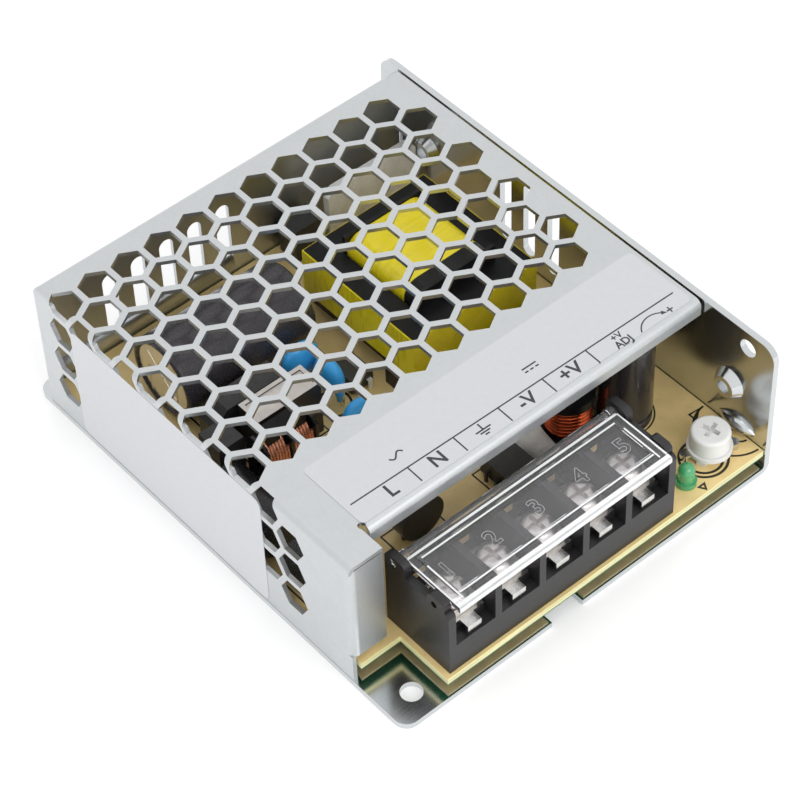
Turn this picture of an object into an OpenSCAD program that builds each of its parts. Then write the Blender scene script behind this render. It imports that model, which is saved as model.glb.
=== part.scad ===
// Enclosed switching power supply: folded base, honeycomb cover, circuit board,
// five-way screw terminal block with a hinged clear lid, and a voltage trimmer.
// Millimetres. Front (terminals) is -Y, the chassis wall is +X, +Z is up.

/* [Case] */
// Overall width along X
case_w = 82; // [80:1:110]
// Overall length along Y
case_l = 99; // [96:1:140]
// Overall height
case_h = 30; // [29:0.5:45]
// Thickness of the base sheet
base_t = 1.2; // [0.8:0.1:1.6]
// Outer radius of the fold between base and side wall
base_fold_r = 1.8; // [1.7:0.1:2.2]
// Radius of the base plate's free corners
base_corner_r = 2.5; // [1:0.5:4]
// Radius of the side wall's upper corners
wall_corner_r = 3; // [1:0.5:5]
// Length of the base left bare behind the cover
rear_shelf = 4.3; // [3:0.1:8]
// Length of the base left bare in front of the cover's lip
front_shelf = 16.5; // [16.3:0.1:20]

/* [Base holes] */
// Diameter of the mounting hole in the base
base_hole_d = 3.9; // [3:0.1:4.5]
// Distance of the mounting hole from the left edge
base_hole_x = 5.6; // [4.5:0.1:7]
// Distance of the mounting hole from the front edge
base_hole_y = 4.9; // [4.5:0.1:7]
// Width of the open notch in the front edge
notch_w = 6.8; // [4:0.1:10]
// Depth of the open notch in the front edge
notch_depth = 6; // [5:0.5:10]
// Diameter of the plain hole in the side wall
wall_hole_d = 3.5; // [3:0.1:4]
// Height of the plain hole below the wall's top
wall_hole_drop = 3.4; // [3:0.1:5]
// Distance of the plain hole from the front edge
wall_hole_y = 5.9; // [5:0.1:8]
// Bore of the drawn screw bosses in the side wall
boss_bore = 2.5; // [2:0.1:3.2]
// Outside diameter of the drawn screw bosses
boss_d = 4.4; // [4:0.1:5.5]
// Height of the drawn screw bosses inside the wall
boss_h = 1.6; // [1:0.1:2]
// Height of the boss centres above the underside
boss_z = 15.5; // [13:0.5:18]
// Distance of the front boss from the front edge
boss_front = 9.3; // [8:0.1:11]
// Distance of the rear boss from the rear edge
boss_rear = 12.7; // [10:0.1:16]

/* [Vents] */
// Width of the vent slots
slot_w = 3; // [2:0.1:4]
// Distance between vent slots
slot_pitch = 6.2; // [5:0.1:8]
// Number of slots in the cover's rear wall
rear_slots = 5; // [1:1:6]
// Number of slots in the side wall
side_slots = 3; // [1:1:4]
// Distance between honeycomb cells
hex_pitch = 7; // [6:0.5:9]
// Width of the metal left between honeycomb cells
hex_web = 1.15; // [0.9:0.05:2]

/* [Cover] */
// Thickness of the cover sheet
cover_t = 0.8; // [0.6:0.1:1]
// Outer radius of the cover's folds
fold_r = 1.4; // [1.2:0.1:2]
// Height of the turned-down front lip
lip_h = 3.2; // [2.5:0.1:4]
// Width of the return flange at the front left
flange_w = 7; // [5:0.5:8]
// Set-forward of the return flange from the lip
flange_step = 4.1; // [3:0.1:5]
// Gap between the cover and the side wall
cover_gap = 0.4; // [0.2:0.1:1]
// Thickness of the stickers
label_t = 0.1; // [0.05:0.05:0.2]
// Depth of the top sticker from front to back
label_depth = 14.9; // [12:0.1:20]
// Length of the side sticker
side_label_l = 50.5; // [30:0.5:60]

/* [Board] */
// Thickness of the circuit board
board_t = 1.6; // [1:0.1:2]
// Height of the supports that carry the board
board_stand = 2.9; // [2:0.1:4]
// Thickness of the insulating film
film_t = 0.25; // [0.1:0.05:0.5]
// Width of the corner left out of the board around the mounting hole
board_cut_w = 9.4; // [9:0.1:10.5]
// Gap between the board and the walls
board_gap = 0.3; // [0.2:0.1:0.6]

/* [Terminals] */
// Distance between terminals
way_pitch = 9.5; // [9:0.1:10]
// Depth of the terminal block
block_d = 14.8; // [14.2:0.1:15]
// Height of the terminal block's walls
block_h = 14.6; // [14.3:0.1:16]
// Height of the sill below the wire entries
sill_h = 6.2; // [5:0.1:7]
// Thickness of the walls between terminals
barrier_t = 1.4; // [1:0.1:1.8]
// Share of the spare front width that lies left of the terminal block
block_share = 0.2324; // [0.15:0.0001:0.35]
// Diameter of the terminal screw's head
screw_head_d = 6.4; // [5.5:0.1:7]
// Height of the terminal screw's head
screw_head_h = 2.3; // [1.8:0.1:2.5]
// Diameter of the terminal screw's shank
screw_d = 3.5; // [3:0.1:4]
// Side of the square clamp washer
washer_w = 7.2; // [6.8:0.1:7.5]
// Thickness of the clamp washer
washer_t = 0.9; // [0.6:0.1:1]
// Thickness of the contact plate
contact_t = 0.6; // [0.4:0.1:0.8]
// Thickness of the clear lid
lid_t = 1; // [0.8:0.1:1.2]
// Diameter of the lid's hinge pins
hinge_d = 1.6; // [1.2:0.1:1.8]

/* [Controls] */
// Diameter of the trimmer knob
knob_d = 7; // [6:0.1:8]
// Height of the trimmer knob
knob_h = 3.5; // [3:0.1:4.5]
// Diameter of the indicator light
led_d = 3; // [2.5:0.1:3.5]
// Height of the indicator light above the board
led_h = 4.6; // [4:0.1:6]

/* [Components] */
// Diameter of the large capacitor
bulk_d = 16; // [14:0.5:17]
// Length of the large capacitor
bulk_l = 25.5; // [20:0.5:27]
// Width of the transformer core across X
core_w = 27.7; // [25:0.1:29]
// Length of the transformer core along Y
core_l = 29.1; // [27:0.1:30]
// Thickness of the transformer core
core_h = 11.3; // [9:0.1:12]
// Height of the transformer winding above the core
winding_rise = 3.3; // [2:0.1:4]
// Diameter of the output capacitors
outcap_d = 10; // [8:0.5:10.5]
// Diameter of the drum inductor
drum_d = 9.4; // [8:0.2:10]
// Diameter of the filter choke's two coils
coil_d = 5.2; // [4.6:0.1:5.6]
// Height of the filter choke's core
choke_h = 13; // [11:0.1:14]

/* [Hidden] */
$fn = 64;
eps = 0.01;
fit = 0.1;
ways = 5;

left = -case_w/2;
right = case_w/2;
front = -case_l/2;
rear = case_l/2;
wall_in = right - base_t;

cover_left = left + label_t;
cover_right = wall_in - cover_gap;
cover_rear = rear - rear_shelf;
cover_top = case_h - label_t;
lip_y = front + front_shelf;
flange_y = lip_y - flange_step;
fold_in = fold_r - cover_t;
lip_left = cover_left + flange_w + 1;
flange_gap = 0.2;

board_z = base_t + board_stand;
board_top = board_z + board_t;
board_left = cover_left + cover_t + board_gap;
board_right = wall_in - board_gap/2;
board_front = front + 0.3;
board_rear = cover_rear - cover_t - board_gap;
board_step_y = flange_y - 0.5;
flange_z = board_top + 1.6;

hex_af = hex_pitch - hex_web;
hex_row = hex_pitch*sin(60);
hex_x0 = cover_left + 1.3;
hex_y0 = cover_rear - 7.1;
label_front = lip_y + fold_r;
label_rear = label_front + label_depth;
label_left = lip_left - 0.3;
label_right = cover_right - 0.8;
hex_rows = floor((hex_y0 - label_rear - hex_af)/hex_row) + 1;
hex_cols = floor((cover_right - 8.2 - hex_x0)/hex_pitch) + 1;
wall_even_z = cover_top - 6.5;
wall_odd_z = wall_even_z + hex_pitch/2;
wall_low_z = board_top + hex_af/2;

block_l = ways*way_pitch + 2;
front_spare = wall_in - cover_left - flange_w - block_l - led_d - knob_d;
block_left = cover_left + flange_w + block_share*front_spare;
block_cx = block_left + block_l/2;
block_front = front + 0.9;
block_rear = block_front + block_d;
block_top = board_top + block_h;
end_wall_t = 1.5;
sill_l = 2.4;
floor_z = board_top + sill_h + 1.2;
contact_z = floor_z + contact_t;
washer_z = contact_z + fit/2;
head_z = washer_z + washer_t + fit/2;
screw_y = block_front + 6.6;
screw_l = 7;
lid_z = block_top + 0.5;
hinge_y = block_rear - 1.4;
hinge_z = lid_z + lid_t/2;
ear_front = 3;
ear_rear = 1.9;
ear_top = lid_z + lid_t + 1.2;
post_front = block_front + 1;
post_l = 4.2;
post_top = lid_z + lid_t + 0.3;
rear_wall_t = 0.9;
rear_wall_drop = 1.4;
lid_narrow = block_l - 2*(end_wall_t + 0.3);
lid_front = front + 0.2;
lid_lip_t = 0.6;

rib_r = 1.6;
rib_l = 8.4;
rib_y = front + 6.85;
rib_z = board_top + 2*fit + rib_r;
trimmer_x = wall_in - rib_r - 0.1688*(front_spare - rib_r) - knob_d/2;
trimmer_y = front + 6.2;
knob_z = board_top + 2.4;
trimmer_stem_d = 4.2;
spindle_d = 3;
spindle_l = 1.4;
led_x = block_left + block_l + 0.3239*front_spare + led_d/2;
led_y = front + 4.1;

support_d = 4.4;
support_bore = 2.5;
support_in = 4.3;
support_pos = [
  [right - support_in, trimmer_y + 2], [left + 4.6, flange_y + 5],
  [left + 4.6, board_rear - 4], [right - support_in, board_rear - 4]
];

outcap_x = right - 13;
outcap_pos = [[outcap_x, front + 22.4], [outcap_x, front + 33.6]];
outcap_h = case_h - board_top - 5;
drum_gap = 0.54;
drum_behind = 3.8;
drum_beside = sqrt(pow((outcap_d + drum_d)/2 + drum_gap, 2) - pow(drum_behind, 2));
drum_pos = [outcap_x - drum_beside, outcap_pos[0][1] + drum_behind];
drum_h = 10.3;
drum_rim = 1.8;
opto_pos = [drum_pos[0] - 14.3, front + 25.5];
opto_size = [6.4, 6.8, 3.6];
bead_pos = [
  [drum_pos[0] - 5.9, drum_pos[1] + 1.3, 4.2], [outcap_x - 2.6, outcap_pos[0][1] + 6.6, 3]
];

transistor_size = [6.5, 4.8, 7.5];
transistor_pos = [left + 0.6159*case_w, board_rear - transistor_size[1] - 1];
heat_t = 1.5;
heat_h = 12.3;
heat_y = board_rear - 5.9;
heat_left = transistor_pos[0] + transistor_size[0] + 1.4;
heat_right = wall_in - boss_h - 2*fit;

rail_t = 1.8;
tape_t = 0.25;
rail_out = rail_t + tape_t + fit;
outcap_rear = outcap_pos[1][1] + outcap_d/2;
xf_spare = board_rear - outcap_rear - core_l - 2*rail_out;
xf_x = left + 0.7116*case_w - core_w/2;
xf_y = outcap_rear + 0.354*xf_spare + rail_out;
core_z = board_top + 4;
core_leg = core_w*0.17;
yoke = core_leg;
centre_leg = core_w*0.28;
cheek_t = 0.7;

therm_pos = [left + 0.311*case_w, front + 26.7];
therm_d = 9;
therm_t = 4.4;
choke_aisle = 10;
choke_base_h = 1.5;
choke_limb = 2.6;
choke_bar = 1.9;
coil_pitch = coil_d + 0.5;
choke_w = coil_pitch + coil_d + 1;
choke_l = coil_d + 1;
line_d = 9;
line_l = 15;
line_x = left + 0.0756*case_w;
filter_size = [13.5, 5.4, 12.3];
bridge_size = [15, 4.4, 10.3];
therm_rear = therm_pos[1] + therm_t/2;
mains_spare = board_rear - therm_rear - choke_aisle - choke_l - filter_size[1] - bridge_size[1] - bulk_d;
choke_x = line_x + line_d/2 + choke_w/2 + 0.55;
choke_y = therm_rear + choke_aisle + 0.366*mains_spare + choke_l/2;
filter_pos = [left + 0.2652*case_w - filter_size[0]/2, choke_y + choke_l/2 + 0.0216*mains_spare];
film_cap_size = [5.2, 5.6, 11.3];
film_cap_pos = [left + 0.1122*case_w - film_cap_size[0]/2, filter_pos[1]];
bridge_pos = [left + 0.2256*case_w - bridge_size[0]/2, filter_pos[1] + filter_size[1] + 0.0749*mains_spare];
bulk_x = left + 0.3238*case_w - bulk_l/2;
bulk_y = bridge_pos[1] + bridge_size[1] + 0.1057*mains_spare + bulk_d/2;
bulk_z = board_top + bulk_d/2 + fit;
bulk_lead_gap = 7.5;
bulk_lead_out = 2;
fuse_size = [4, 8, 8];
fuse_pos = [left + 0.061*case_w - fuse_size[0]/2, front + 25.5];
fuse_rear = fuse_pos[1] + fuse_size[1];
line_pos = [line_x, fuse_rear + 0.74*(film_cap_pos[1] - fuse_rear - line_l)];
disc_d = 8;
disc_t = 3.6;
disc_z = board_top + 6.3;
disc_y = bridge_pos[1] + disc_t;
disc_x = left + 0.3963*case_w;
disc_pos = [[disc_x, disc_y, 0], [disc_x + 2.1, disc_y - 6, 90], [disc_x, disc_y - 15, 0]];
lead_d = 0.8;

// Quarter of a square outside a circle, for rounding an outer corner
module corner_cut(r) {
  difference() {
    translate([-1, -1]) square(r + 1);
    translate([r, r]) circle(r);
  }
}

// Slot with round ends along the local Y axis
module slot2d(w, l) {
  square([w, l - w], center = true);
  for (s = [-1, 1]) translate([0, s*(l - w)/2]) circle(d = w);
}

// Flat plate with four rounded corners
module rounded_plate(w, l, r) {
  square([w, l - 2*r], center = true);
  square([w - 2*r, l], center = true);
  for (sx = [-1, 1], sy = [-1, 1]) translate([sx*(w/2 - r), sy*(l/2 - r)]) circle(r);
}

// Extrusion along X of a profile drawn in Y and Z
module along_x(x0, length) {
  translate([x0, 0, 0]) rotate([90, 0, 90]) linear_extrude(length) children();
}

// Extrusion along Y of a profile drawn in X and Z
module along_y(y0, length) {
  translate([0, y0 + length, 0]) rotate([90, 0, 0]) linear_extrude(length) children();
}

// Quarter ring of sheet in the first quadrant
module fold2d(r, t) {
  intersection() {
    difference() {
      circle(r);
      circle(r - t);
    }
    square(r);
  }
}

module hex_hole2d() {
  rotate(30) circle(d = hex_af/cos(30), $fn = 6);
}

module base_profile() {
  translate([left, 0]) square([case_w - base_fold_r, base_t]);
  translate([right - base_t, base_fold_r]) square([base_t, case_h - base_fold_r]);
  translate([right - base_fold_r, base_fold_r]) rotate(-90) fold2d(base_fold_r, base_t);
}

// Pressed rib of the side wall, just above the board's edge
module wall_rib() {
  bow_r = (pow(rib_l/2, 2) + pow(rib_r, 2))/(2*rib_r);
  intersection() {
    translate([wall_in, rib_y, rib_z]) rotate([90, 0, 0]) rotate_extrude() intersection() {
      translate([rib_r - bow_r, 0]) circle(bow_r);
      translate([0, -rib_l/2]) square([rib_r, rib_l]);
    }
    translate([wall_in - 2*rib_r, rib_y - rib_l, 0]) cube([2*rib_r + base_t/2, 2*rib_l, case_h]);
  }
}

module base_chassis() {
  through = base_t + 2*eps;
  side_slot_y = rear - 33.7;
  color("gainsboro") {
    difference() {
      union() {
        along_y(front, case_l) base_profile();
        for (y = [front + boss_front, rear - boss_rear])
          translate([wall_in - boss_h, y, boss_z])
            rotate([0, 90, 0]) cylinder(d1 = boss_d, d2 = boss_d + 2, h = boss_h);
        wall_rib();
      }
      for (m = [0, 1]) mirror([0, m, 0]) {
        translate([left, front, -eps]) linear_extrude(through) corner_cut(base_corner_r);
        along_x(wall_in - eps, through)
          translate([front, case_h]) mirror([0, 1]) corner_cut(wall_corner_r);
      }
      translate([left + base_hole_x, front + base_hole_y, -eps]) cylinder(d = base_hole_d, h = through);
      front_notch(notch_w, notch_depth, -eps, through);
      translate([wall_in - eps, front + wall_hole_y, case_h - wall_hole_drop])
        rotate([0, 90, 0]) cylinder(d = wall_hole_d, h = through);
      for (y = [front + boss_front, rear - boss_rear])
        translate([wall_in - boss_h - eps, y, boss_z])
          rotate([0, 90, 0]) cylinder(d = boss_bore, h = boss_h + through);
      for (i = [0 : side_slots - 1])
        along_x(wall_in - eps, through)
          translate([side_slot_y - i*slot_pitch, case_h/2 + 2]) slot2d(slot_w, case_h - 13);
    }
  }
}

// Open U in the front edge, with its own width and depth
module front_notch(w, depth, z, h) {
  translate([block_cx, front, z]) linear_extrude(h) {
    translate([-w/2, -1]) square([w, depth - w/2 + 1]);
    translate([0, depth - w/2]) circle(d = w);
  }
}

// Solid block with the cover's two rounded folds, drawn in by an inset
module cover_block(inset, r, extra) {
  intersection() {
    along_y(flange_y - extra, cover_rear - flange_y + 2*extra) difference() {
      translate([cover_left + inset, base_t - extra])
        square([cover_right - cover_left - inset + extra, cover_top - base_t - inset + extra]);
      translate([cover_left + inset, cover_top - inset]) mirror([0, 1]) corner_cut(r);
    }
    along_x(cover_left - 1, cover_right - cover_left + 2 + extra) difference() {
      translate([flange_y - 2*extra, base_t - 2*extra])
        square([cover_rear - inset - flange_y + 2*extra, cover_top - base_t - inset + 2*extra]);
      translate([cover_rear - inset, cover_top - inset]) rotate(180) corner_cut(r);
    }
  }
}

// Top, left wall and rear wall as one folded sheet
module cover_shell() {
  difference() {
    cover_block(0, fold_r, 0);
    cover_block(cover_t, fold_in, 1);
    translate([lip_left - 1, flange_y - 1, base_t])
      cube([case_w, lip_y + fold_r - flange_y + 1, case_h]);
    translate([cover_left - 1, flange_y - 1, base_t - 1])
      cube([fold_r + 2, fold_r + 1, cover_top - fold_r - base_t + 1]);
  }
}

module cover_lip() {
  along_x(lip_left, cover_right - lip_left) {
    translate([lip_y + fold_r, cover_top - fold_r]) rotate(90) fold2d(fold_r, cover_t);
    translate([lip_y, cover_top - lip_h]) square([cover_t, lip_h - fold_r]);
  }
}

// Left wall's front end, turned in to face the terminals
module cover_flange() {
  flange_top = cover_top - cover_t - flange_gap;
  translate([cover_left + fold_r, flange_y + fold_r, flange_z])
    linear_extrude(flange_top - flange_z) rotate(180) fold2d(fold_r, cover_t);
  translate([cover_left + fold_r, flange_y, flange_z])
    cube([flange_w - fold_r, cover_t, flange_top - flange_z]);
  translate([cover_left, flange_y + 0.3, base_t])
    cube([cover_t, fold_r, flange_z - base_t]);
}

// Cells in the flat top, then the same lattice carried over the fold onto the left wall
module honeycomb() {
  for (n = [0 : hex_rows - 1], k = [0 : hex_cols - 1])
    translate([hex_x0 + hex_pitch*(k + (n % 2)/2), hex_y0 - n*hex_row, cover_top - fold_r])
      linear_extrude(fold_r + 1) hex_hole2d();
  for (n = [0 : hex_rows + 1]) {
    top_z = n % 2 == 0 ? wall_even_z + (n < hex_rows ? hex_pitch : 0) : wall_odd_z;
    for (z = [top_z : -hex_pitch : wall_low_z])
      along_x(cover_left - 1, fold_r + 1)
        translate([hex_y0 - n*hex_row, z]) rotate(90) hex_hole2d();
  }
}

module top_cover() {
  rear_slot_x = left + 14.6;
  rear_slot_z = board_top + 9.3;
  rear_slot_l = 16;
  relief_d = 1.4;
  color("lightsteelblue") {
    difference() {
      union() {
        cover_shell();
        cover_lip();
        cover_flange();
      }
      honeycomb();
      for (i = [0 : rear_slots - 1])
        along_y(cover_rear - cover_t - 1, cover_t + 2)
          translate([rear_slot_x + i*slot_pitch, rear_slot_z]) slot2d(slot_w, rear_slot_l);
      translate([lip_left - 0.5, lip_y + fold_r, cover_top - cover_t - 1])
        cylinder(d = relief_d, h = cover_t + 2);
    }
  }
}

module top_label() {
  color("whitesmoke")
    translate([(label_left + label_right)/2, (label_front + label_rear)/2, cover_top])
      linear_extrude(label_t) rounded_plate(label_right - label_left, label_depth, 1);
}

module side_label() {
  label_top = cover_top - 3;
  label_low = base_t + 0.4;
  color("whitesmoke")
    along_x(left, label_t)
      translate([cover_rear - 10 - side_label_l/2, (label_top + label_low)/2])
        rounded_plate(side_label_l, label_top - label_low, 1.6);
}

// Board outline: a full rectangle less the corner around the mounting hole
module board_outline(grow) {
  difference() {
    translate([board_left - grow, board_front - grow])
      square([board_right - board_left + 2*grow, board_rear - board_front + 2*grow]);
    translate([left - 1, front - 1])
      square([board_cut_w + 1 - grow, board_step_y - front + 1 - grow]);
  }
}

module insulating_film() {
  film_right = right - base_fold_r - fit;
  color("white", 0.5)
    difference() {
      translate([0, 0, base_t]) linear_extrude(film_t) difference() {
        board_outline(-fit);
        translate([film_right, front]) square([case_w, case_l]);
        for (p = support_pos) translate(p) circle(d = support_d + 1);
      }
      front_notch(notch_w + 1, notch_depth + 0.5, base_t - eps, film_t + 2*eps);
    }
}

module circuit_board() {
  color("tan")
    translate([0, 0, board_z]) linear_extrude(board_t) difference() {
      board_outline(0);
    }
}

module board_supports() {
  color("silver")
    for (p = support_pos)
      translate([p[0], p[1], base_t]) difference() {
        cylinder(d = support_d, h = board_stand);
        translate([0, 0, -eps]) cylinder(d = support_bore, h = board_stand + 2*eps);
      }
}

// Half section of a disc with a rounded upper edge
module pan_head2d(d, h, edge) {
  square([d/2, h - edge]);
  square([d/2 - edge, h]);
  intersection() {
    translate([d/2 - edge, h - edge]) circle(edge);
    translate([d/2 - edge, h - edge]) square(edge);
  }
}

function way_x(i) = block_cx + (i - (ways - 1)/2)*way_pitch;

// Rounded tab that stands on an end wall, from one depth to another
module wall_tab(y0, y1, top) {
  corner = 1.1;
  hull() {
    translate([y0, board_top]) square([y1 - y0, 1]);
    for (y = [y0 + corner, y1 - corner]) translate([y, top - corner]) circle(corner);
  }
}

// Side view of an end wall: hinge ear at the back, snap post with its hole near the front, a dip between
module end_wall_profile() {
  difference() {
    union() {
      translate([block_front, board_top]) square([block_d, block_h]);
      wall_tab(hinge_y - ear_front, hinge_y + ear_rear, ear_top);
      wall_tab(post_front, post_front + post_l, post_top);
    }
    translate([block_front, block_top]) mirror([0, 1]) corner_cut(0.9);
    translate([hinge_y, hinge_z]) circle(d = hinge_d + 2*fit);
    translate([post_front + 0.6*post_l, block_top]) circle(d = 1.3);
  }
}

// Side view of a wall between two terminals
module barrier_profile() {
  difference() {
    translate([block_front, board_top]) square([block_d, block_h]);
    translate([block_front, block_top]) mirror([0, 1]) corner_cut(0.8);
    translate([hinge_y - ear_front, block_top - rear_wall_drop]) square([2*ear_front + 1, block_h]);
  }
}

module terminal_housing() {
  window = [3.6, 3];
  window_drop = 1.8;
  color("dimgray") {
    difference() {
      union() {
        translate([block_left, block_front, board_top]) cube([block_l, block_d, sill_h]);
        translate([block_left, block_front + sill_l, board_top])
          cube([block_l, block_d - sill_l, floor_z - board_top]);
        translate([block_left, block_rear - rear_wall_t, board_top])
          cube([block_l, rear_wall_t, block_h - rear_wall_drop]);
      }
      for (i = [0 : ways - 1]) {
        translate([way_x(i), screw_y, board_top + 1]) cylinder(d = screw_d + 4*fit, h = block_h);
        translate([way_x(i) + 0.3 - window[0]/2, block_rear - 2.6, floor_z - window_drop])
          cube([window[0], 3, window[1]]);
      }
    }
    for (i = [1 : ways - 1])
      along_x(way_x(i) - way_pitch/2 - barrier_t/2, barrier_t) barrier_profile();
    for (x = [block_left, block_left + block_l - end_wall_t])
      along_x(x, end_wall_t) end_wall_profile();
  }
}

// Contact plates with a narrow tongue that runs out over the sill and turns down
module terminal_contacts() {
  plate_w = way_pitch - barrier_t - 0.5;
  plate_l = 9;
  tongue_w = 2.8;
  tongue_l = 2;
  tongue_drop = 0.9;
  plate_y = block_front + sill_l;
  color("silver")
    for (i = [0 : ways - 1]) translate([way_x(i), 0, floor_z]) difference() {
      union() {
        translate([-plate_w/2, plate_y, 0]) cube([plate_w, plate_l, contact_t]);
        translate([-tongue_w/2, plate_y - tongue_l, 0]) cube([tongue_w, tongue_l + eps, contact_t]);
        translate([-tongue_w/2, plate_y - tongue_l, -tongue_drop])
          cube([tongue_w, contact_t, tongue_drop + contact_t]);
      }
      translate([0, screw_y, -1]) cylinder(d = screw_d + 4*fit, h = contact_t + 2);
    }
}

// Square clamp washer with clipped front corners and a raised front edge
module clamp_washer(i) {
  corner = 1.2;
  color("silver")
    translate([way_x(i), screw_y, washer_z]) difference() {
      union() {
        translate([-washer_w/2, -washer_w/2, 0]) cube([washer_w, washer_w, washer_t]);
        translate([-washer_w/2, -washer_w/2, washer_t]) cube([washer_w, 0.5, 0.4]);
      }
      translate([0, 0, washer_t]) cylinder(d = screw_head_d + 4*fit, h = washer_t);
      translate([0, 0, -1]) cylinder(d = screw_d + 2*fit, h = washer_t + 2);
      for (s = [-1, 1]) translate([s*washer_w/2, -washer_w/2, 0]) rotate(45)
        cube([corner, corner, 4*washer_t], center = true);
    }
}

// Pan-head screw with a combined cross and slot
module terminal_screw(i) {
  slot = 0.9;
  color("silver")
    translate([way_x(i), screw_y, head_z]) {
      difference() {
        rotate_extrude() pan_head2d(screw_head_d, screw_head_h, 1.5);
        translate([-screw_head_d/2, -slot/2, screw_head_h - 1]) cube([screw_head_d, slot, 2]);
        translate([-slot/2, -screw_head_d*0.3, screw_head_h - 1.3]) cube([slot, screw_head_d*0.6, 2]);
      }
      translate([0, 0, -screw_l]) cylinder(d = screw_d, h = screw_l);
    }
}

// Clear lid between the end walls, with a raised frame, a front lip and hinge pins in the ears
module terminal_lid() {
  rib = 0.6;
  rise = 0.3;
  knuckle_l = 1.2;
  lip_low = block_top - 1;
  frame_l = hinge_y - lid_front - 4.4;
  color("white", 0.3) {
    translate([block_cx - lid_narrow/2, lid_front, lid_z])
      cube([lid_narrow, hinge_y + 0.6 - lid_front, lid_t]);
    translate([block_cx - lid_narrow/2, lid_front, lip_low]) cube([lid_narrow, lid_lip_t, lid_z - lip_low]);
    translate([block_cx - block_l/2 + 2*fit, hinge_y, hinge_z])
      rotate([0, 90, 0]) cylinder(d = hinge_d, h = block_l - 4*fit);
    for (s = [-1, 1])
      translate([block_cx + s*(lid_narrow - knuckle_l)/2 - knuckle_l/2, hinge_y, hinge_z])
        rotate([0, 90, 0]) cylinder(d = hinge_d + 0.5, h = knuckle_l);
    translate([block_cx, lid_front + 2.2 + frame_l/2, lid_z + lid_t]) linear_extrude(rise) difference() {
      square([lid_narrow - 3, frame_l], center = true);
      square([lid_narrow - 3 - 2*rib, frame_l - 2*rib], center = true);
    }
  }
}

module trimmer_base() {
  rim_z = knob_z - fit;
  rim_t = 0.8;
  color("ivory")
    translate([trimmer_x, trimmer_y, 0]) difference() {
      union() {
        translate([0, 0, rim_z - rim_t]) cylinder(d = knob_d + 0.9, h = rim_t);
        translate([0, 0, board_top]) cylinder(d = trimmer_stem_d, h = rim_z - board_top);
        for (a = [110, 200, 290]) rotate(a)
          translate([trimmer_stem_d/2 - 0.2, -0.8, board_top]) cube([1.5, 1.6, rim_z - rim_t/2 - board_top]);
      }
      translate([0, 0, rim_z - spindle_l - fit]) cylinder(d = spindle_d + 2*fit, h = spindle_l + 1);
    }
}

module trimmer_terminals() {
  tab_z = board_top + 0.9;
  tab_t = 0.5;
  tab_w = 1.8;
  reach = knob_d/2 + 0.9;
  color("silver")
    for (a = [155, 335]) translate([trimmer_x, trimmer_y, 0]) rotate(a) {
      translate([trimmer_stem_d/2 + fit, -tab_w/2, tab_z]) cube([reach - trimmer_stem_d/2, tab_w, tab_t]);
      translate([reach, 0, board_top]) cylinder(d = tab_w, h = tab_z + tab_t - board_top);
    }
}

module trimmer_knob() {
  recess_l = 3.4;
  recess_w = 0.9;
  color("white")
    translate([trimmer_x, trimmer_y, knob_z]) {
      difference() {
        rotate_extrude() pan_head2d(knob_d, knob_h, 0.6);
        for (a = [15, 105]) rotate(a)
          translate([-recess_l/2, -recess_w/2, knob_h - 1.2]) cube([recess_l, recess_w, 2]);
      }
      translate([0, 0, -spindle_l]) cylinder(d = spindle_d, h = spindle_l + eps);
    }
}

module led() {
  color("limegreen")
    translate([led_x, led_y, board_top]) {
      cylinder(d = led_d + 0.8, h = 1);
      cylinder(d = led_d, h = led_h - led_d/2);
      translate([0, 0, led_h - led_d/2]) sphere(d = led_d);
    }
}

// Sleeved can lying along X: rolled edges, a crimp near the sealed end, a scored vent end
module bulk_capacitor() {
  r = bulk_d/2;
  edge = 0.9;
  score_in = 2.6;
  score_w = 0.4;
  color("darkslategray")
    translate([bulk_x, bulk_y, bulk_z]) rotate([0, 90, 0]) difference() {
      rotate_extrude() difference() {
        union() {
          translate([0, edge]) square([r, bulk_l - 2*edge]);
          square([r - edge, bulk_l]);
          for (z = [edge, bulk_l - edge]) translate([r - edge, z]) circle(edge);
        }
        translate([r + 0.5, 3]) circle(1);
        translate([0, bulk_l - 0.4]) square([r - 1.6, 1]);
        translate([0, -0.6]) square([r - 1.6, 1]);
      }
      for (a = [0, 90]) rotate(a) translate([score_in - r, -score_w/2, bulk_l - 0.6])
        cube([bulk_d - 2*score_in, score_w, 1]);
    }
}

module bulk_capacitor_leads() {
  color("silver")
    for (s = [-1, 1]) translate([bulk_x - bulk_lead_out, bulk_y + s*bulk_lead_gap/2, 0]) {
      translate([0, 0, board_top]) cylinder(d = lead_d, h = bulk_z - board_top + lead_d/2);
      translate([0, 0, bulk_z]) rotate([0, 90, 0]) cylinder(d = lead_d, h = bulk_lead_out + 0.4);
    }
}

// Closed ferrite frame with a centre leg along Y
module transformer_core() {
  window_w = (core_w - 2*core_leg - centre_leg)/2;
  color("dimgray")
    translate([xf_x, xf_y, core_z]) difference() {
      cube([core_w, core_l, core_h]);
      for (x = [core_leg, core_leg + window_w + centre_leg])
        translate([x, yoke, -1]) cube([window_w, core_l - 2*yoke, core_h + 2]);
    }
}

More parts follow.
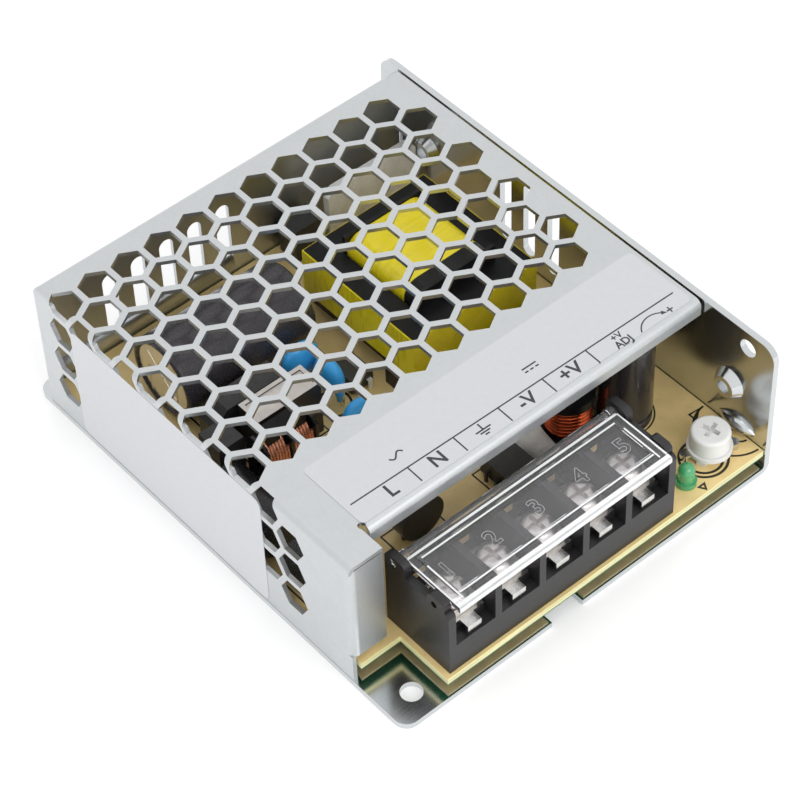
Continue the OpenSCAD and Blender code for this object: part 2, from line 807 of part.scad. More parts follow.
module transformer_bobbin() {
  cheek_w = core_w - 2*core_leg - 4*fit;
  skirt = 3.4;
  inset = 2;
  low = core_z - skirt;
  high = core_z + core_h + winding_rise + 0.3;
  rail_w = core_w - 2*inset;
  color("dimgray") {
    for (y = [xf_y + yoke + fit, xf_y + core_l - yoke - cheek_t - fit])
      difference() {
        translate([xf_x + core_leg + 2*fit, y, low]) cube([cheek_w, cheek_t, high - low]);
        translate([xf_x + (core_w - centre_leg)/2 - fit, y - 1, core_z - fit])
          cube([centre_leg + 2*fit, cheek_t + 2, core_h + 2*fit]);
      }
    for (y = [xf_y - 0.6, xf_y + core_l - yoke])
      translate([xf_x + inset, y, board_top]) cube([rail_w, yoke + 0.6, core_z - board_top]);
    for (y = [xf_y - rail_t - tape_t - fit, xf_y + core_l + tape_t + fit])
      translate([xf_x + inset, y, board_top]) cube([rail_w, rail_t, core_z - board_top + inset]);
  }
}

// Taped winding around the centre leg, with rounded edges
module transformer_winding() {
  w = core_w - 2*core_leg - 1;
  l = core_l - 2*yoke - 2*cheek_t - 4*fit;
  h = core_h + 2*winding_rise;
  color("gold")
    translate([xf_x + core_w/2, xf_y + core_l/2, core_z + core_h/2]) difference() {
      rotate([90, 0, 0]) translate([0, 0, -l/2]) linear_extrude(l) rounded_plate(w, h, 3);
      cube([centre_leg + 2*fit, l + 2, core_h + 2*fit], center = true);
    }
}

module transformer_tape() {
  margin = 0.7;
  lift = 0.5;
  tape_w = core_h - 2*margin;
  color("gold")
    translate([xf_x, xf_y, core_z + margin + lift]) difference() {
      translate([-tape_t, -tape_t, 0]) cube([core_w + 2*tape_t, core_l + 2*tape_t, tape_w]);
      translate([0, 0, -1]) cube([core_w, core_l, core_h + 2]);
    }
}

// The choke's two upright limbs, one for each coil
module choke_limbs(w, z, h) {
  for (s = [-1, 1]) translate([s*coil_pitch/2 - w/2, -w/2, z]) cube([w, w, h]);
}

module choke_base() {
  color("black")
    translate([choke_x - choke_w/2, choke_y - choke_l/2, board_top]) cube([choke_w, choke_l, choke_base_h]);
}

module choke_core() {
  bar_w = coil_pitch + choke_limb;
  color("dimgray")
    translate([choke_x, choke_y, board_top + choke_base_h]) {
      choke_limbs(choke_limb, 0, choke_h);
      for (z = [0, choke_h - choke_bar])
        translate([-bar_w/2, -choke_limb/2, z]) cube([bar_w, choke_limb, choke_bar]);
    }
}

// Coils around the limbs, between the bars
module choke_windings() {
  coil_z = choke_bar + fit;
  coil_h = choke_h - 2*coil_z;
  color("chocolate")
    translate([choke_x, choke_y, board_top + choke_base_h]) difference() {
      for (s = [-1, 1]) translate([s*coil_pitch/2, 0, coil_z]) cylinder(d = coil_d, h = coil_h);
      choke_limbs(choke_limb + 2*fit, coil_z - 1, coil_h + 2);
    }
}

module filter_capacitor() {
  rim = 0.8;
  color("lightgray")
    translate([filter_pos[0], filter_pos[1], board_top]) difference() {
      cube(filter_size);
      translate([rim, rim, filter_size[2] - 0.3]) cube([filter_size[0] - 2*rim, filter_size[1] - 2*rim, 1]);
    }
}

module film_capacitor() {
  color("black")
    translate([film_cap_pos[0], film_cap_pos[1], board_top]) cube(film_cap_size);
}

module fuse() {
  color("black")
    translate([fuse_pos[0], fuse_pos[1], board_top]) cube(fuse_size);
}

module bridge_rectifier() {
  chamfer = 3;
  color("black")
    translate([bridge_pos[0], bridge_pos[1], board_top]) difference() {
      cube(bridge_size);
      translate([0, -1, bridge_size[2] - chamfer]) rotate([0, -45, 0])
        cube([2*chamfer, bridge_size[1] + 2, 2*chamfer]);
    }
}

module disc_capacitors() {
  r = disc_t/2;
  color("deepskyblue")
    for (p = disc_pos) translate([p[0], p[1], disc_z]) rotate([90, 0, p[2]]) rotate_extrude() {
      translate([0, -r]) square([disc_d/2 - r, disc_t]);
      intersection() {
        translate([disc_d/2 - r, 0]) circle(r);
        translate([disc_d/2 - r, -r]) square([r, disc_t]);
      }
    }
}

module disc_capacitor_leads() {
  lead_x = 2.5;
  lead_h = disc_z - board_top - sqrt(pow(disc_d/2, 2) - pow(lead_x, 2));
  color("silver")
    for (p = disc_pos, s = [-1, 1]) translate([p[0], p[1], board_top]) rotate(p[2])
      translate([s*lead_x, 0, 0]) cylinder(d = lead_d, h = lead_h);
}

module thermistor() {
  color("black")
    translate([therm_pos[0], therm_pos[1], board_top]) {
      translate([0, therm_t/2, therm_d/2 + 0.7]) rotate([90, 0, 0]) cylinder(d = therm_d, h = therm_t);
      for (s = [-1, 1]) translate([s*2.5, 0, 0]) cylinder(d = lead_d, h = therm_d/2);
    }
}

module line_inductor() {
  axis_z = board_top + line_d/2 + 0.5;
  color("black")
    translate([line_pos[0], line_pos[1], 0]) {
      translate([0, 0, axis_z]) rotate([-90, 0, 0]) cylinder(d = line_d, h = line_l);
      for (y = [2, line_l - 2]) translate([0, y, board_top]) cylinder(d = lead_d, h = line_d/2);
    }
}

module optocoupler() {
  lift = 0.5;
  pin_w = 0.5;
  pin_z = lift + opto_size[2]/2;
  pin_x = opto_size[0]/2 + 0.6;
  color("black")
    translate([opto_pos[0], opto_pos[1], board_top]) {
      translate([-opto_size[0]/2, -opto_size[1]/2, lift]) cube(opto_size);
      for (sx = [-1, 1], y = [-1.27, 1.27]) {
        translate([sx*pin_x - pin_w/2, y - pin_w/2, 0]) cube([pin_w, pin_w, pin_z]);
        translate([sx*(pin_x - 0.4) - pin_w, y - pin_w/2, pin_z - pin_w]) cube([2*pin_w, pin_w, pin_w]);
      }
    }
}

module transistor() {
  color("black")
    translate([transistor_pos[0], transistor_pos[1], board_top]) cube(transistor_size);
}

// Upright plate across the board's rear right, its upper corners clipped
module heat_plate() {
  corner = 1.5;
  wide = heat_right - heat_left;
  color("silver")
    translate([heat_left, heat_y + heat_t, board_top]) rotate([90, 0, 0]) linear_extrude(heat_t)
      polygon([
        [0, 0], [wide, 0], [wide, heat_h - corner], [wide - corner, heat_h],
        [corner, heat_h], [0, heat_h - corner]
      ]);
}

module drum_core() {
  color("dimgray")
    translate([drum_pos[0], drum_pos[1], board_top]) {
      for (z = [0, drum_h - drum_rim]) translate([0, 0, z]) cylinder(d = drum_d, h = drum_rim);
      cylinder(d = drum_d/2, h = drum_h);
    }
}

module drum_winding() {
  color("firebrick")
    translate([drum_pos[0], drum_pos[1], board_top + drum_rim]) difference() {
      cylinder(d = drum_d - 0.8, h = drum_h - 2*drum_rim);
      translate([0, 0, -1]) cylinder(d = drum_d/2, h = drum_h);
    }
}

module output_capacitors() {
  edge = 0.7;
  r = outcap_d/2;
  color("black")
    for (p = outcap_pos) translate([p[0], p[1], board_top]) rotate_extrude() difference() {
      union() {
        square([r, outcap_h - edge]);
        square([r - edge, outcap_h]);
        intersection() {
          translate([r - edge, outcap_h - edge]) circle(edge);
          translate([r - edge, outcap_h - edge]) square(edge);
        }
      }
      translate([r + 0.3, 2]) circle(0.7);
      translate([0, outcap_h - 0.3]) square([r - 1.2, 1]);
    }
}

// Cap of a sphere standing on the board
module sealant_cap(x, y, base_r) {
  rise = base_r*0.62;
  ball = (base_r*base_r + rise*rise)/(2*rise);
  translate([x, y, board_top]) intersection() {
    translate([0, 0, rise - ball]) sphere(ball);
    cylinder(r = base_r + 1, h = rise + 1);
  }
}

// Low domes of sealant on the board, moulded against the parts beside them
module silicone_beads() {
  color("white")
    difference() {
      for (p = bead_pos) sealant_cap(p[0], p[1], p[2]);
      for (p = outcap_pos) translate([p[0], p[1], 0]) cylinder(d = outcap_d + 2*fit, h = case_h);
      translate([drum_pos[0], drum_pos[1], 0]) cylinder(d = drum_d + 2*fit, h = case_h);
    }
}

module clamp_washer_1() { clamp_washer(0); }
module clamp_washer_2() { clamp_washer(1); }
module clamp_washer_3() { clamp_washer(2); }
module clamp_washer_4() { clamp_washer(3); }
module clamp_washer_5() { clamp_washer(4); }
module terminal_screw_1() { terminal_screw(0); }
module terminal_screw_2() { terminal_screw(1); }
module terminal_screw_3() { terminal_screw(2); }
module terminal_screw_4() { terminal_screw(3); }
module terminal_screw_5() { terminal_screw(4); }

base_chassis();
top_cover();
top_label();
side_label();
insulating_film();
circuit_board();
board_supports();
terminal_housing();
terminal_contacts();
terminal_lid();
clamp_washer_1();
clamp_washer_2();
clamp_washer_3();
clamp_washer_4();
clamp_washer_5();
terminal_screw_1();
terminal_screw_2();
terminal_screw_3();
terminal_screw_4();
terminal_screw_5();
trimmer_base();
trimmer_terminals();
trimmer_knob();
led();
bulk_capacitor();
bulk_capacitor_leads();
transformer_core();
transformer_bobbin();
transformer_winding();
transformer_tape();
choke_core();
choke_base();
choke_windings();
filter_capacitor();
film_capacitor();
fuse();
bridge_rectifier();
disc_capacitors();
disc_capacitor_leads();
thermistor();
line_inductor();
optocoupler();
drum_core();
drum_winding();
output_capacitors();
transistor();
heat_plate();
silicone_beads();
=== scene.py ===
"""Looks of an enclosed switching power supply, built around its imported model."""
import math

import bmesh
import bpy
from mathutils import Matrix, Vector


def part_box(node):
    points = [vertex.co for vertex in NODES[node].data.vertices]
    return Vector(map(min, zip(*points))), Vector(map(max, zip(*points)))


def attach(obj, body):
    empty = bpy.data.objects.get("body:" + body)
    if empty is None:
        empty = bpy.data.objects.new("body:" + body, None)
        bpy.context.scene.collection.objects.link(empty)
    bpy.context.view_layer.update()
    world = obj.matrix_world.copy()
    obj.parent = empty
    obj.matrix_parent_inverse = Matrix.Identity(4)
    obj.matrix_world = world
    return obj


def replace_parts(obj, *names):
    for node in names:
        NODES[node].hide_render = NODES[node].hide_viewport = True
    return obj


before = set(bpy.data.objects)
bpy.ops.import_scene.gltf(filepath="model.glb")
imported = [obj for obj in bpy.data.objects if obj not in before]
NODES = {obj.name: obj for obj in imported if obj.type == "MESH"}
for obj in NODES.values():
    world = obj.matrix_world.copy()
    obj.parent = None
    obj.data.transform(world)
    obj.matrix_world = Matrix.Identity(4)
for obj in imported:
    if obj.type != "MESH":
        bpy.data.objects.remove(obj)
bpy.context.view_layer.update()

bl_info = {
    "name": "Switching power supply",
    "version": (1, 0, 0),
    "blender": (4, 5, 0),
    "location": "3D View > Sidebar > Supply",
    "description": "Dresses the packed power supply with its finishes, marks, windings and small parts",
    "category": "Object",
}

MM = 0.001
WAYS = range(1, 6)
BODY = "chassis"

CAMERA_TURN, CAMERA_RISE, CAMERA_ROLL = (math.radians(angle) for angle in (-39.01, 48.36, -2.45))
CAMERA_AIM = Vector((2.3, 1.7, 4.5)) * MM
CAMERA_REACH = 502.9 * MM
CAMERA_LENS = 130.73
CAMERA_SENSOR = 36.0
LAMPS = (  # name, place, width and power
    ("key_lamp", (-0.02, -0.80, 0.60), 0.6, 2.8),
    ("top_lamp", (0.10, 0.05, 0.95), 0.5, 0.4),
)
LAMP_AIM = Vector((0.0, 0.0, 0.01))
FLOOR_WHITE = 0.82
FLOOR_GLOW = 0.22
FLOOR_REACH = 3.0
LETTER_STEPS = 5
WIRE_SIDES = 8
WIRE_STEPS = 36
CAN_STEPS = 64
DRIP_STEPS = 12


def middle(node):
    """Centre of a node's box."""
    low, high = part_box(node)
    return (low + high) / 2


WAY_X = [middle(f"terminal_screw_{i}").x for i in WAYS]
BOARD_LOW, BOARD_TOP = (corner.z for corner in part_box("circuit_board"))
LABEL_LOW, LABEL_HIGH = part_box("top_label")
LID_LOW, LID_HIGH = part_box("terminal_lid")
LID_KNUCKLE_RISE = 0.55 * MM
LID_FRAME_RISE = 0.3 * MM
LID_PIN_REACH = 1.6 * MM
LID_TOP = LID_HIGH.z - LID_KNUCKLE_RISE


def colour(name, about, value):
    """Colour that a user may change."""
    return bpy.props.FloatVectorProperty(
        name=name, description=about, default=value, size=3, min=0.0, max=1.0, subtype="COLOR")


def length(name, about, value):
    """Size in metres that a user may change."""
    return bpy.props.FloatProperty(
        name=name, description=about, default=value, min=0.0, precision=5, unit="LENGTH")


class SupplyColours(bpy.types.PropertyGroup):
    """Colours of the supply's finishes."""
    sheet: colour("Sheet metal", "Galvanised base and cover", (0.60, 0.62, 0.63))
    label: colour("Label", "Silver-white stickers", (0.70, 0.71, 0.74))
    ink: colour("Ink", "Printed marks of the sticker", (0.035, 0.035, 0.042))
    laminate: colour("Board", "Component side of the circuit board", (0.86, 0.65, 0.29))
    laminate_edge: colour("Board edge", "Cut edge of the circuit board", (0.80, 0.75, 0.40))
    solder_mask: colour("Solder side", "Green underside of the circuit board", (0.010, 0.16, 0.075))
    plastic: colour("Black plastic", "Terminal block and bobbin", (0.016, 0.0155, 0.017))
    nylon: colour("White nylon", "Trimmer", (0.80, 0.80, 0.78))
    plating: colour("Plating", "Screws, washers and contacts", (0.70, 0.69, 0.66))
    tape: colour("Tape", "Transformer tape", (0.95, 0.79, 0.015))
    ferrite: colour("Ferrite", "Cores", (0.009, 0.009, 0.010))
    sleeve: colour("Sleeve", "Capacitor sleeves", (0.042, 0.038, 0.044))
    copper: colour("Copper", "Filter choke wire", (0.95, 0.42, 0.26))
    enamel: colour("Red enamel", "Drum inductor wire", (0.55, 0.09, 0.03))
    disc: colour("Blue epoxy", "Disc capacitors", (0.06, 0.45, 0.98))
    light: colour("Light", "Green indicator", (0.16, 0.75, 0.32))
    # painted light: pale colour for the boxed capacitor's upward faces, standing in for light from above
    resin: colour("Resin", "Pale top of the boxed capacitor", (0.72, 0.67, 0.63))
    sealant: colour("Sealant", "White silicone", (0.74, 0.73, 0.70))


class SupplySizes(bpy.types.PropertyGroup):
    """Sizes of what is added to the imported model."""
    print_rise: length("Print thickness", "Thickness of printed marks", 0.02 * MM)
    line_w: length("Line width", "Width of the sticker's rules", 0.26 * MM)
    mark_h: length("Letter height", "Height of the sticker's letters", 2.7 * MM)
    legend_w: length("Legend line", "Width of the board's printed lines", 0.3 * MM)
    numeral_h: length("Numeral height", "Height of the lid's numerals", 3.3 * MM)
    numeral_wire: length("Numeral line", "Thickness of the lid's outlined numerals", 0.11 * MM)
    lid_lip: length("Lid lip", "Depth of the lid's front lip", 1.2 * MM)
    lid_band: length("Lid band", "Width of the bright strip along the lid's front", 1.0 * MM)
    lid_line: length("Lid line", "Width of the bright lines on the lid", 0.3 * MM)
    choke_wire: length("Choke wire", "Diameter of the filter choke's wire", 0.62 * MM)
    drum_wire: length("Drum wire", "Diameter of the drum inductor's wire", 0.84 * MM)
    can_reach: length("Can end", "How far the bulk capacitor's end stands out over its leads", 2.7 * MM)


# Shader groups and materials

def shader_group(name, inputs):
    """Surface group with its inputs and its three outputs, and its input and output nodes."""
    group = bpy.data.node_groups.new(name, "ShaderNodeTree")
    for label, value in inputs:
        kind = "NodeSocketColor" if isinstance(value, tuple) else "NodeSocketFloat"
        group.interface.new_socket(name=label, in_out="INPUT", socket_type=kind).default_value = value
    for label, kind in (("Colour", "Color"), ("Roughness", "Float"), ("Height", "Float")):
        group.interface.new_socket(name=label, in_out="OUTPUT", socket_type=f"NodeSocket{kind}")
    return group, group.nodes.new("NodeGroupInput"), group.nodes.new("NodeGroupOutput")


def close_group(group, out, tint, rough, height):
    """Links what a surface group puts out."""
    for name, value in (("Colour", tint), ("Roughness", rough), ("Height", height)):
        group.links.new(value, out.inputs[name])
    return group


def noise(tree, vector, scale, detail=3.0):
    """Noise texture on a vector; the scale is a number or a socket."""
    node = tree.nodes.new("ShaderNodeTexNoise")
    node.inputs["Detail"].default_value = detail
    tree.links.new(vector, node.inputs["Vector"])
    if isinstance(scale, float):
        node.inputs["Scale"].default_value = scale
    else:
        tree.links.new(scale, node.inputs["Scale"])
    return node.outputs[0]


def spread(tree, value, low, high, to_low, to_high):
    """Value mapped from one range to another; the targets are numbers or sockets."""
    node = tree.nodes.new("ShaderNodeMapRange")
    tree.links.new(value, node.inputs["Value"])
    node.inputs["From Min"].default_value = low
    node.inputs["From Max"].default_value = high
    for key, end in (("To Min", to_low), ("To Max", to_high)):
        if isinstance(end, float):
            node.inputs[key].default_value = end
        else:
            tree.links.new(end, node.inputs[key])
    return node.outputs["Result"]


def blend(tree, factor, first, second):
    """Colour between two; each is a colour or a socket."""
    node = tree.nodes.new("ShaderNodeMix")
    node.data_type = "RGBA"
    tree.links.new(factor, node.inputs[0])
    for slot, end in ((6, first), (7, second)):
        if isinstance(end, bpy.types.NodeSocket):
            tree.links.new(end, node.inputs[slot])
        else:
            node.inputs[slot].default_value = (*end[:3], 1.0)
    return node.outputs[2]


def mottled(tree, cloud, first, second):
    """Colour that wanders between two with a noise."""
    return blend(tree, spread(tree, cloud, 0.35, 0.65, 0.0, 1.0), first, second)


def place(tree, stretch=(1.0, 1.0, 1.0)):
    """Object coordinates, stretched."""
    coords = tree.nodes.new("ShaderNodeTexCoord")
    mapping = tree.nodes.new("ShaderNodeMapping")
    mapping.inputs["Scale"].default_value = stretch
    tree.links.new(coords.outputs["Object"], mapping.inputs["Vector"])
    return mapping.outputs["Vector"]


def grain_group():
    """Mottled colour, uneven roughness and fine height, for moulded and printed finishes."""
    found = bpy.data.node_groups.get("surface_grain")
    if found:
        return found
    group, given, out = shader_group(
        "surface_grain",
        (("Colour A", (0.5, 0.5, 0.5, 1.0)), ("Colour B", (0.6, 0.6, 0.6, 1.0)), ("Mottle", 300.0),
         ("Grain", 3000.0), ("Rough Low", 0.4), ("Rough High", 0.5)))
    at = place(group)
    mottle = noise(group, at, given.outputs["Mottle"], 4.0)
    fine = noise(group, at, given.outputs["Grain"], 2.0)
    tint = mottled(group, mottle, given.outputs["Colour A"], given.outputs["Colour B"])
    rough = spread(group, fine, 0.3, 0.7, given.outputs["Rough Low"], given.outputs["Rough High"])
    return close_group(group, out, tint, rough, fine)


def sheet_group():
    """Rolled and galvanised steel: faint spangle, fine streaks along the rolling direction."""
    found = bpy.data.node_groups.get("zinc_sheet")
    if found:
        return found
    group, given, out = shader_group(
        "zinc_sheet",
        (("Colour A", (0.6, 0.6, 0.6, 1.0)), ("Colour B", (0.7, 0.7, 0.7, 1.0)), ("Spangle", 350.0),
         ("Rough Low", 0.2), ("Rough High", 0.3)))
    cells = group.nodes.new("ShaderNodeTexVoronoi")
    group.links.new(place(group), cells.inputs["Vector"])
    group.links.new(given.outputs["Spangle"], cells.inputs["Scale"])
    flakes = group.nodes.new("ShaderNodeSeparateColor")
    group.links.new(cells.outputs["Color"], flakes.inputs[0])
    streaks = noise(group, place(group, (1.0, 9.0, 9.0)), 420.0, 4.0)
    cloud = noise(group, place(group), 1600.0, 3.0)
    even = spread(group, cloud, 0.3, 0.7, 0.0, 1.0)
    mixed = group.nodes.new("ShaderNodeMix")
    mixed.inputs[0].default_value = 0.35
    group.links.new(even, mixed.inputs[2])
    group.links.new(flakes.outputs[0], mixed.inputs[3])
    tint = blend(group, mixed.outputs[0], given.outputs["Colour A"], given.outputs["Colour B"])
    rough = spread(group, streaks, 0.3, 0.7, given.outputs["Rough Low"], given.outputs["Rough High"])
    return close_group(group, out, tint, rough, cloud)


def shade(value, factor):
    """Colour made darker or lighter."""
    return tuple(min(1.0, c * factor) for c in value)


def bare_material(name):
    """Material with an empty Principled shader."""
    material = bpy.data.materials.new(name)
    material.use_nodes = True
    tree = material.node_tree
    return material, tree, tree.nodes["Principled BSDF"]


def feed(tree, shader, tint, rough):
    """Feeds a colour and a roughness to the shader."""
    tree.links.new(tint, shader.inputs["Base Color"])
    tree.links.new(rough, shader.inputs["Roughness"])


def bump(tree, shader, height, strength, distance):
    """Feeds a height to the shader's normal."""
    node = tree.nodes.new("ShaderNodeBump")
    node.inputs["Strength"].default_value = strength
    node.inputs["Distance"].default_value = distance
    tree.links.new(height, node.inputs["Height"])
    tree.links.new(node.outputs["Normal"], shader.inputs["Normal"])


def grain_node(tree, group, tint, contrast, rough, mottle, grain):
    """Grain group placed in a material with its own values."""
    node = tree.nodes.new("ShaderNodeGroup")
    node.node_tree = group
    values = {"Colour A": (*shade(tint, 1.0 - contrast), 1.0),
              "Colour B": (*shade(tint, 1.0 + contrast), 1.0),
              "Rough Low": rough[0], "Rough High": rough[1],
              "Mottle": mottle, "Spangle": mottle, "Grain": grain}
    for key, value in values.items():
        if key in node.inputs:
            node.inputs[key].default_value = value
    return node


def finish(name, tint, rough, mottle=300.0, grain=3000.0, relief=0.15, contrast=0.08, group=None,
           **sockets):
    """Material whose colour, roughness and bump come from a grain group."""
    material, tree, shader = bare_material(name)
    node = grain_node(tree, group or grain_group(), tint, contrast, rough, mottle, grain)
    feed(tree, shader, node.outputs["Colour"], node.outputs["Roughness"])
    if relief:
        bump(tree, shader, node.outputs["Height"], relief, 0.05 * MM)
    for key, value in sockets.items():
        shader.inputs[key.replace("_", " ")].default_value = value
    return material


def metal(name, tint, rough, mottle, contrast=0.08, amount=1.0):
    """Smooth bare metal."""
    return finish(name, tint, rough, mottle=mottle, relief=0.0, contrast=contrast, Metallic=amount)


def dress(material, *nodes):
    """Puts a material on CAD nodes."""
    for name in nodes:
        slots = NODES[name].data.materials
        slots.clear()
        slots.append(material)


# Mesh helpers

def new_object(name, data):
    """New object in the scene."""
    made = bpy.data.objects.new(name, data)
    bpy.context.scene.collection.objects.link(made)
    return made


def to_mesh(name, bm, material):
    """New mesh with its material; uses the bmesh up."""
    mesh = bpy.data.meshes.new(name)
    bm.to_mesh(mesh)
    bm.free()
    mesh.materials.append(material)
    return mesh


def as_mesh(made):
    """Plain mesh of a text object, or of an object with its modifiers."""
    bpy.context.view_layer.update()
    graph = bpy.context.evaluated_depsgraph_get()
    return bpy.data.meshes.new_from_object(made.evaluated_get(graph), depsgraph=graph)


def in_mm(points):
    """Points given in millimetres."""
    return [(a * MM, b * MM) for a, b in points]


def add_piece(name, bm, material, body=BODY, smooth=False):
    """Closed mesh made a piece that rides on a body."""
    bmesh.ops.remove_doubles(bm, verts=bm.verts, dist=1e-7)
    bmesh.ops.recalc_face_normals(bm, faces=bm.faces)
    for face in bm.faces:
        face.smooth = smooth
    made = new_object(name, to_mesh(name, bm, material))
    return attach(made, body)


def ribbon(bm, path, width, z, rise, closed=False):
    """Flat printed line along points in X and Y."""
    points = [Vector(p) for p in path]
    count = len(points)
    rings = []
    for i, point in enumerate(points):
        before = points[i - 1] if closed or i else point
        after = points[(i + 1) % count] if closed or i < count - 1 else point
        steps = [s.normalized() for s in (point - before, after - point) if s.length > 1e-9]
        along = sum(steps, Vector((0.0, 0.0))).normalized()
        across = Vector((-along.y, along.x))
        reach = width / 2 / max(0.5, across.dot(Vector((-steps[0].y, steps[0].x))))
        corners = [(point + across * reach, z), (point - across * reach, z),
                   (point - across * reach, z + rise), (point + across * reach, z + rise)]
        rings.append([bm.verts.new((p.x, p.y, h)) for p, h in corners])
    for a, b in zip(rings, rings[1:] + rings[:1] if closed else rings[1:]):
        for i in range(4):
            bm.faces.new((a[i], a[(i + 1) % 4], b[(i + 1) % 4], b[i]))
    if not closed:
        bm.faces.new(rings[0])
        bm.faces.new(rings[-1])


def extrusion(bm, profile, start, end, axis="X"):
    """Closed bar along an axis, from points in the other two."""
    rings = []
    for at in (start, end):
        spots = ({"X": (at, a, b), "Y": (a, at, b), "Z": (a, b, at)}[axis] for a, b in profile)
        rings.append([bm.verts.new(spot) for spot in spots])
    count = len(profile)
    for k in range(count):
        bm.faces.new((rings[0][k], rings[0][(k + 1) % count], rings[1][(k + 1) % count], rings[1][k]))
    for ring in rings:
        bm.faces.new(ring)


def arc(centre, radius, start=0.0, end=360.0, steps=48):
    """Points of an arc, in degrees; a full turn leaves out its last point."""
    whole = abs(end - start) >= 360.0
    angles = [math.radians(start + (end - start) * i / steps) for i in range(steps if whole else steps + 1)]
    return [(centre[0] + radius * math.cos(a), centre[1] + radius * math.sin(a)) for a in angles]


def lettering(bm, text, height, centre, z, rise, heavier=0.0, outline=0.0):
    """Letters as a mesh of the given height, centred on a point.

    An outline is a round line along their edges.
    """
    curve = bpy.data.curves.new("lettering", "FONT")
    curve.body = text
    curve.resolution_u = LETTER_STEPS
    curve.offset = heavier
    maker = new_object("lettering", curve)
    plain = as_mesh(maker)
    spans = [[v.co[k] for v in plain.vertices] for k in (0, 1)]
    low, high = ([f(s) for s in spans] for f in (min, max))
    size = height / (high[1] - low[1])
    bpy.data.meshes.remove(plain)
    if outline:
        curve.fill_mode = "NONE"
        curve.bevel_depth = outline / 2 / size
        curve.bevel_resolution = 1
        lift = outline * 0.3
    else:
        curve.extrude = rise / 2 / size
        lift = rise / 2
    solid = as_mesh(maker)
    shift = Vector((-(low[0] + high[0]) / 2, -(low[1] + high[1]) / 2, 0.0))
    spot = Matrix.Translation((centre[0], centre[1], z + lift))
    solid.transform(spot @ Matrix.Scale(size, 4) @ Matrix.Translation(shift))
    bm.from_mesh(solid)
    bpy.data.meshes.remove(solid)
    bpy.data.objects.remove(maker)
    bpy.data.curves.remove(curve)


def lathe(bm, profile, centre, axis="Z", steps=32):
    """Closed turned shape: points of radius and height, from axis to axis."""
    spun = []
    for radius, height in profile:
        count = steps if radius > 1e-9 else 1
        ring = []
        for k in range(count):
            turn = 2 * math.pi * k / steps
            x, y = radius * math.cos(turn), radius * math.sin(turn)
            spot = {"X": (height, x, y), "Y": (x, height, y), "Z": (x, y, height)}[axis]
            ring.append(bm.verts.new(Vector(centre) + Vector(spot)))
        spun.append(ring)
    for a, b in zip(spun, spun[1:]):
        for k in range(steps):
            corners = [a[k % len(a)], a[(k + 1) % len(a)], b[(k + 1) % len(b)], b[k % len(b)]]
            unique = list(dict.fromkeys(corners))
            if len(unique) > 2:
                bm.faces.new(unique)


# Geometry node trees

def geometry_tree(name, inputs):
    """Geometry node group with named inputs.

    Gives the tree, its input and output nodes, and the inputs' identifiers.
    """
    tree = bpy.data.node_groups.new(name, "GeometryNodeTree")
    tree.interface.new_socket(name="Geometry", in_out="OUTPUT", socket_type="NodeSocketGeometry")
    ids = {}
    for label, kind in inputs:
        made = tree.interface.new_socket(name=label, in_out="INPUT", socket_type=f"NodeSocket{kind}")
        ids[label] = made.identifier
    return tree, tree.nodes.new("NodeGroupInput"), tree.nodes.new("NodeGroupOutput"), ids


def math_node(tree, operation, first, second):
    """Math node; each value is a number or a socket."""
    node = tree.nodes.new("ShaderNodeMath")
    node.operation = operation
    for slot, value in enumerate((first, second)):
        if isinstance(value, (int, float)):
            node.inputs[slot].default_value = value
        else:
            tree.links.new(value, node.inputs[slot])
    return node.outputs[0]


def gn_node(tree, kind, **links):
    """Geometry node with its inputs linked or set by name."""
    node = tree.nodes.new(kind)
    for name, value in links.items():
        target = node.inputs[name.replace("_", " ")]
        if isinstance(value, bpy.types.NodeSocket):
            tree.links.new(value, target)
        else:
            target.default_value = value
    return node


def close_tree(tree, geometry, given, out):
    """Ends a tree: realised, smooth and with its material."""
    real = gn_node(tree, "GeometryNodeRealizeInstances", Geometry=geometry)
    soft = gn_node(tree, "GeometryNodeSetShadeSmooth", Geometry=real.outputs[0])
    last = gn_node(tree, "GeometryNodeSetMaterial", Geometry=soft.outputs[0],
                   Material=given.outputs["Material"])
    tree.links.new(last.outputs[0], out.inputs["Geometry"])


def wound_coil_tree(name, turn=(0.0, 0.0, 0.0), stretch=(1.0, 1.0, 1.0)):
    """One layer of wire wound as a helix, its path stretched and turned before the wire follows it."""
    tree, given, out, ids = geometry_tree(name, (
        ("Turns", "Float"), ("Wire Radius", "Float"), ("Radius", "Float"), ("Height", "Float"),
        ("Centre", "Vector"), ("Material", "Material")))
    inputs = given.outputs
    helix = gn_node(tree, "GeometryNodeCurveSpiral", Resolution=WIRE_STEPS, Rotations=inputs["Turns"],
                    Start_Radius=inputs["Radius"], End_Radius=inputs["Radius"], Height=inputs["Height"])
    path = gn_node(tree, "GeometryNodeTransform", Geometry=helix.outputs[0], Rotation=turn, Scale=stretch,
                   Translation=inputs["Centre"])
    profile = gn_node(tree, "GeometryNodeCurvePrimitiveCircle", Resolution=WIRE_SIDES,
                      Radius=inputs["Wire Radius"])
    wire = gn_node(tree, "GeometryNodeCurveToMesh", Curve=path.outputs[0], Profile_Curve=profile.outputs[0],
                   Fill_Caps=True)
    close_tree(tree, wire.outputs[0], given, out)
    return tree, ids


def grow(name, tree, ids, values, body=BODY):
    """Runs a tree with its values and keeps the result as a plain mesh piece."""
    made = new_object(name, bpy.data.meshes.new(name))
    modifier = made.modifiers.new(name, "NODES")
    modifier.node_group = tree
    for label, value in values.items():
        modifier[ids[label]] = value
    mesh = as_mesh(made)
    made.modifiers.remove(modifier)
    made.data = mesh
    if not mesh.polygons:
        raise RuntimeError(f"{name}: its geometry nodes made nothing")
    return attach(made, body)


# Operators

class SupplyOperator:
    """Shared reading of the sizes and colours."""
    bl_options = {"REGISTER", "UNDO"}

    def execute(self, context):
        self.build(context.scene.supply_sizes, context.scene.supply_colours)
        return {"FINISHED"}


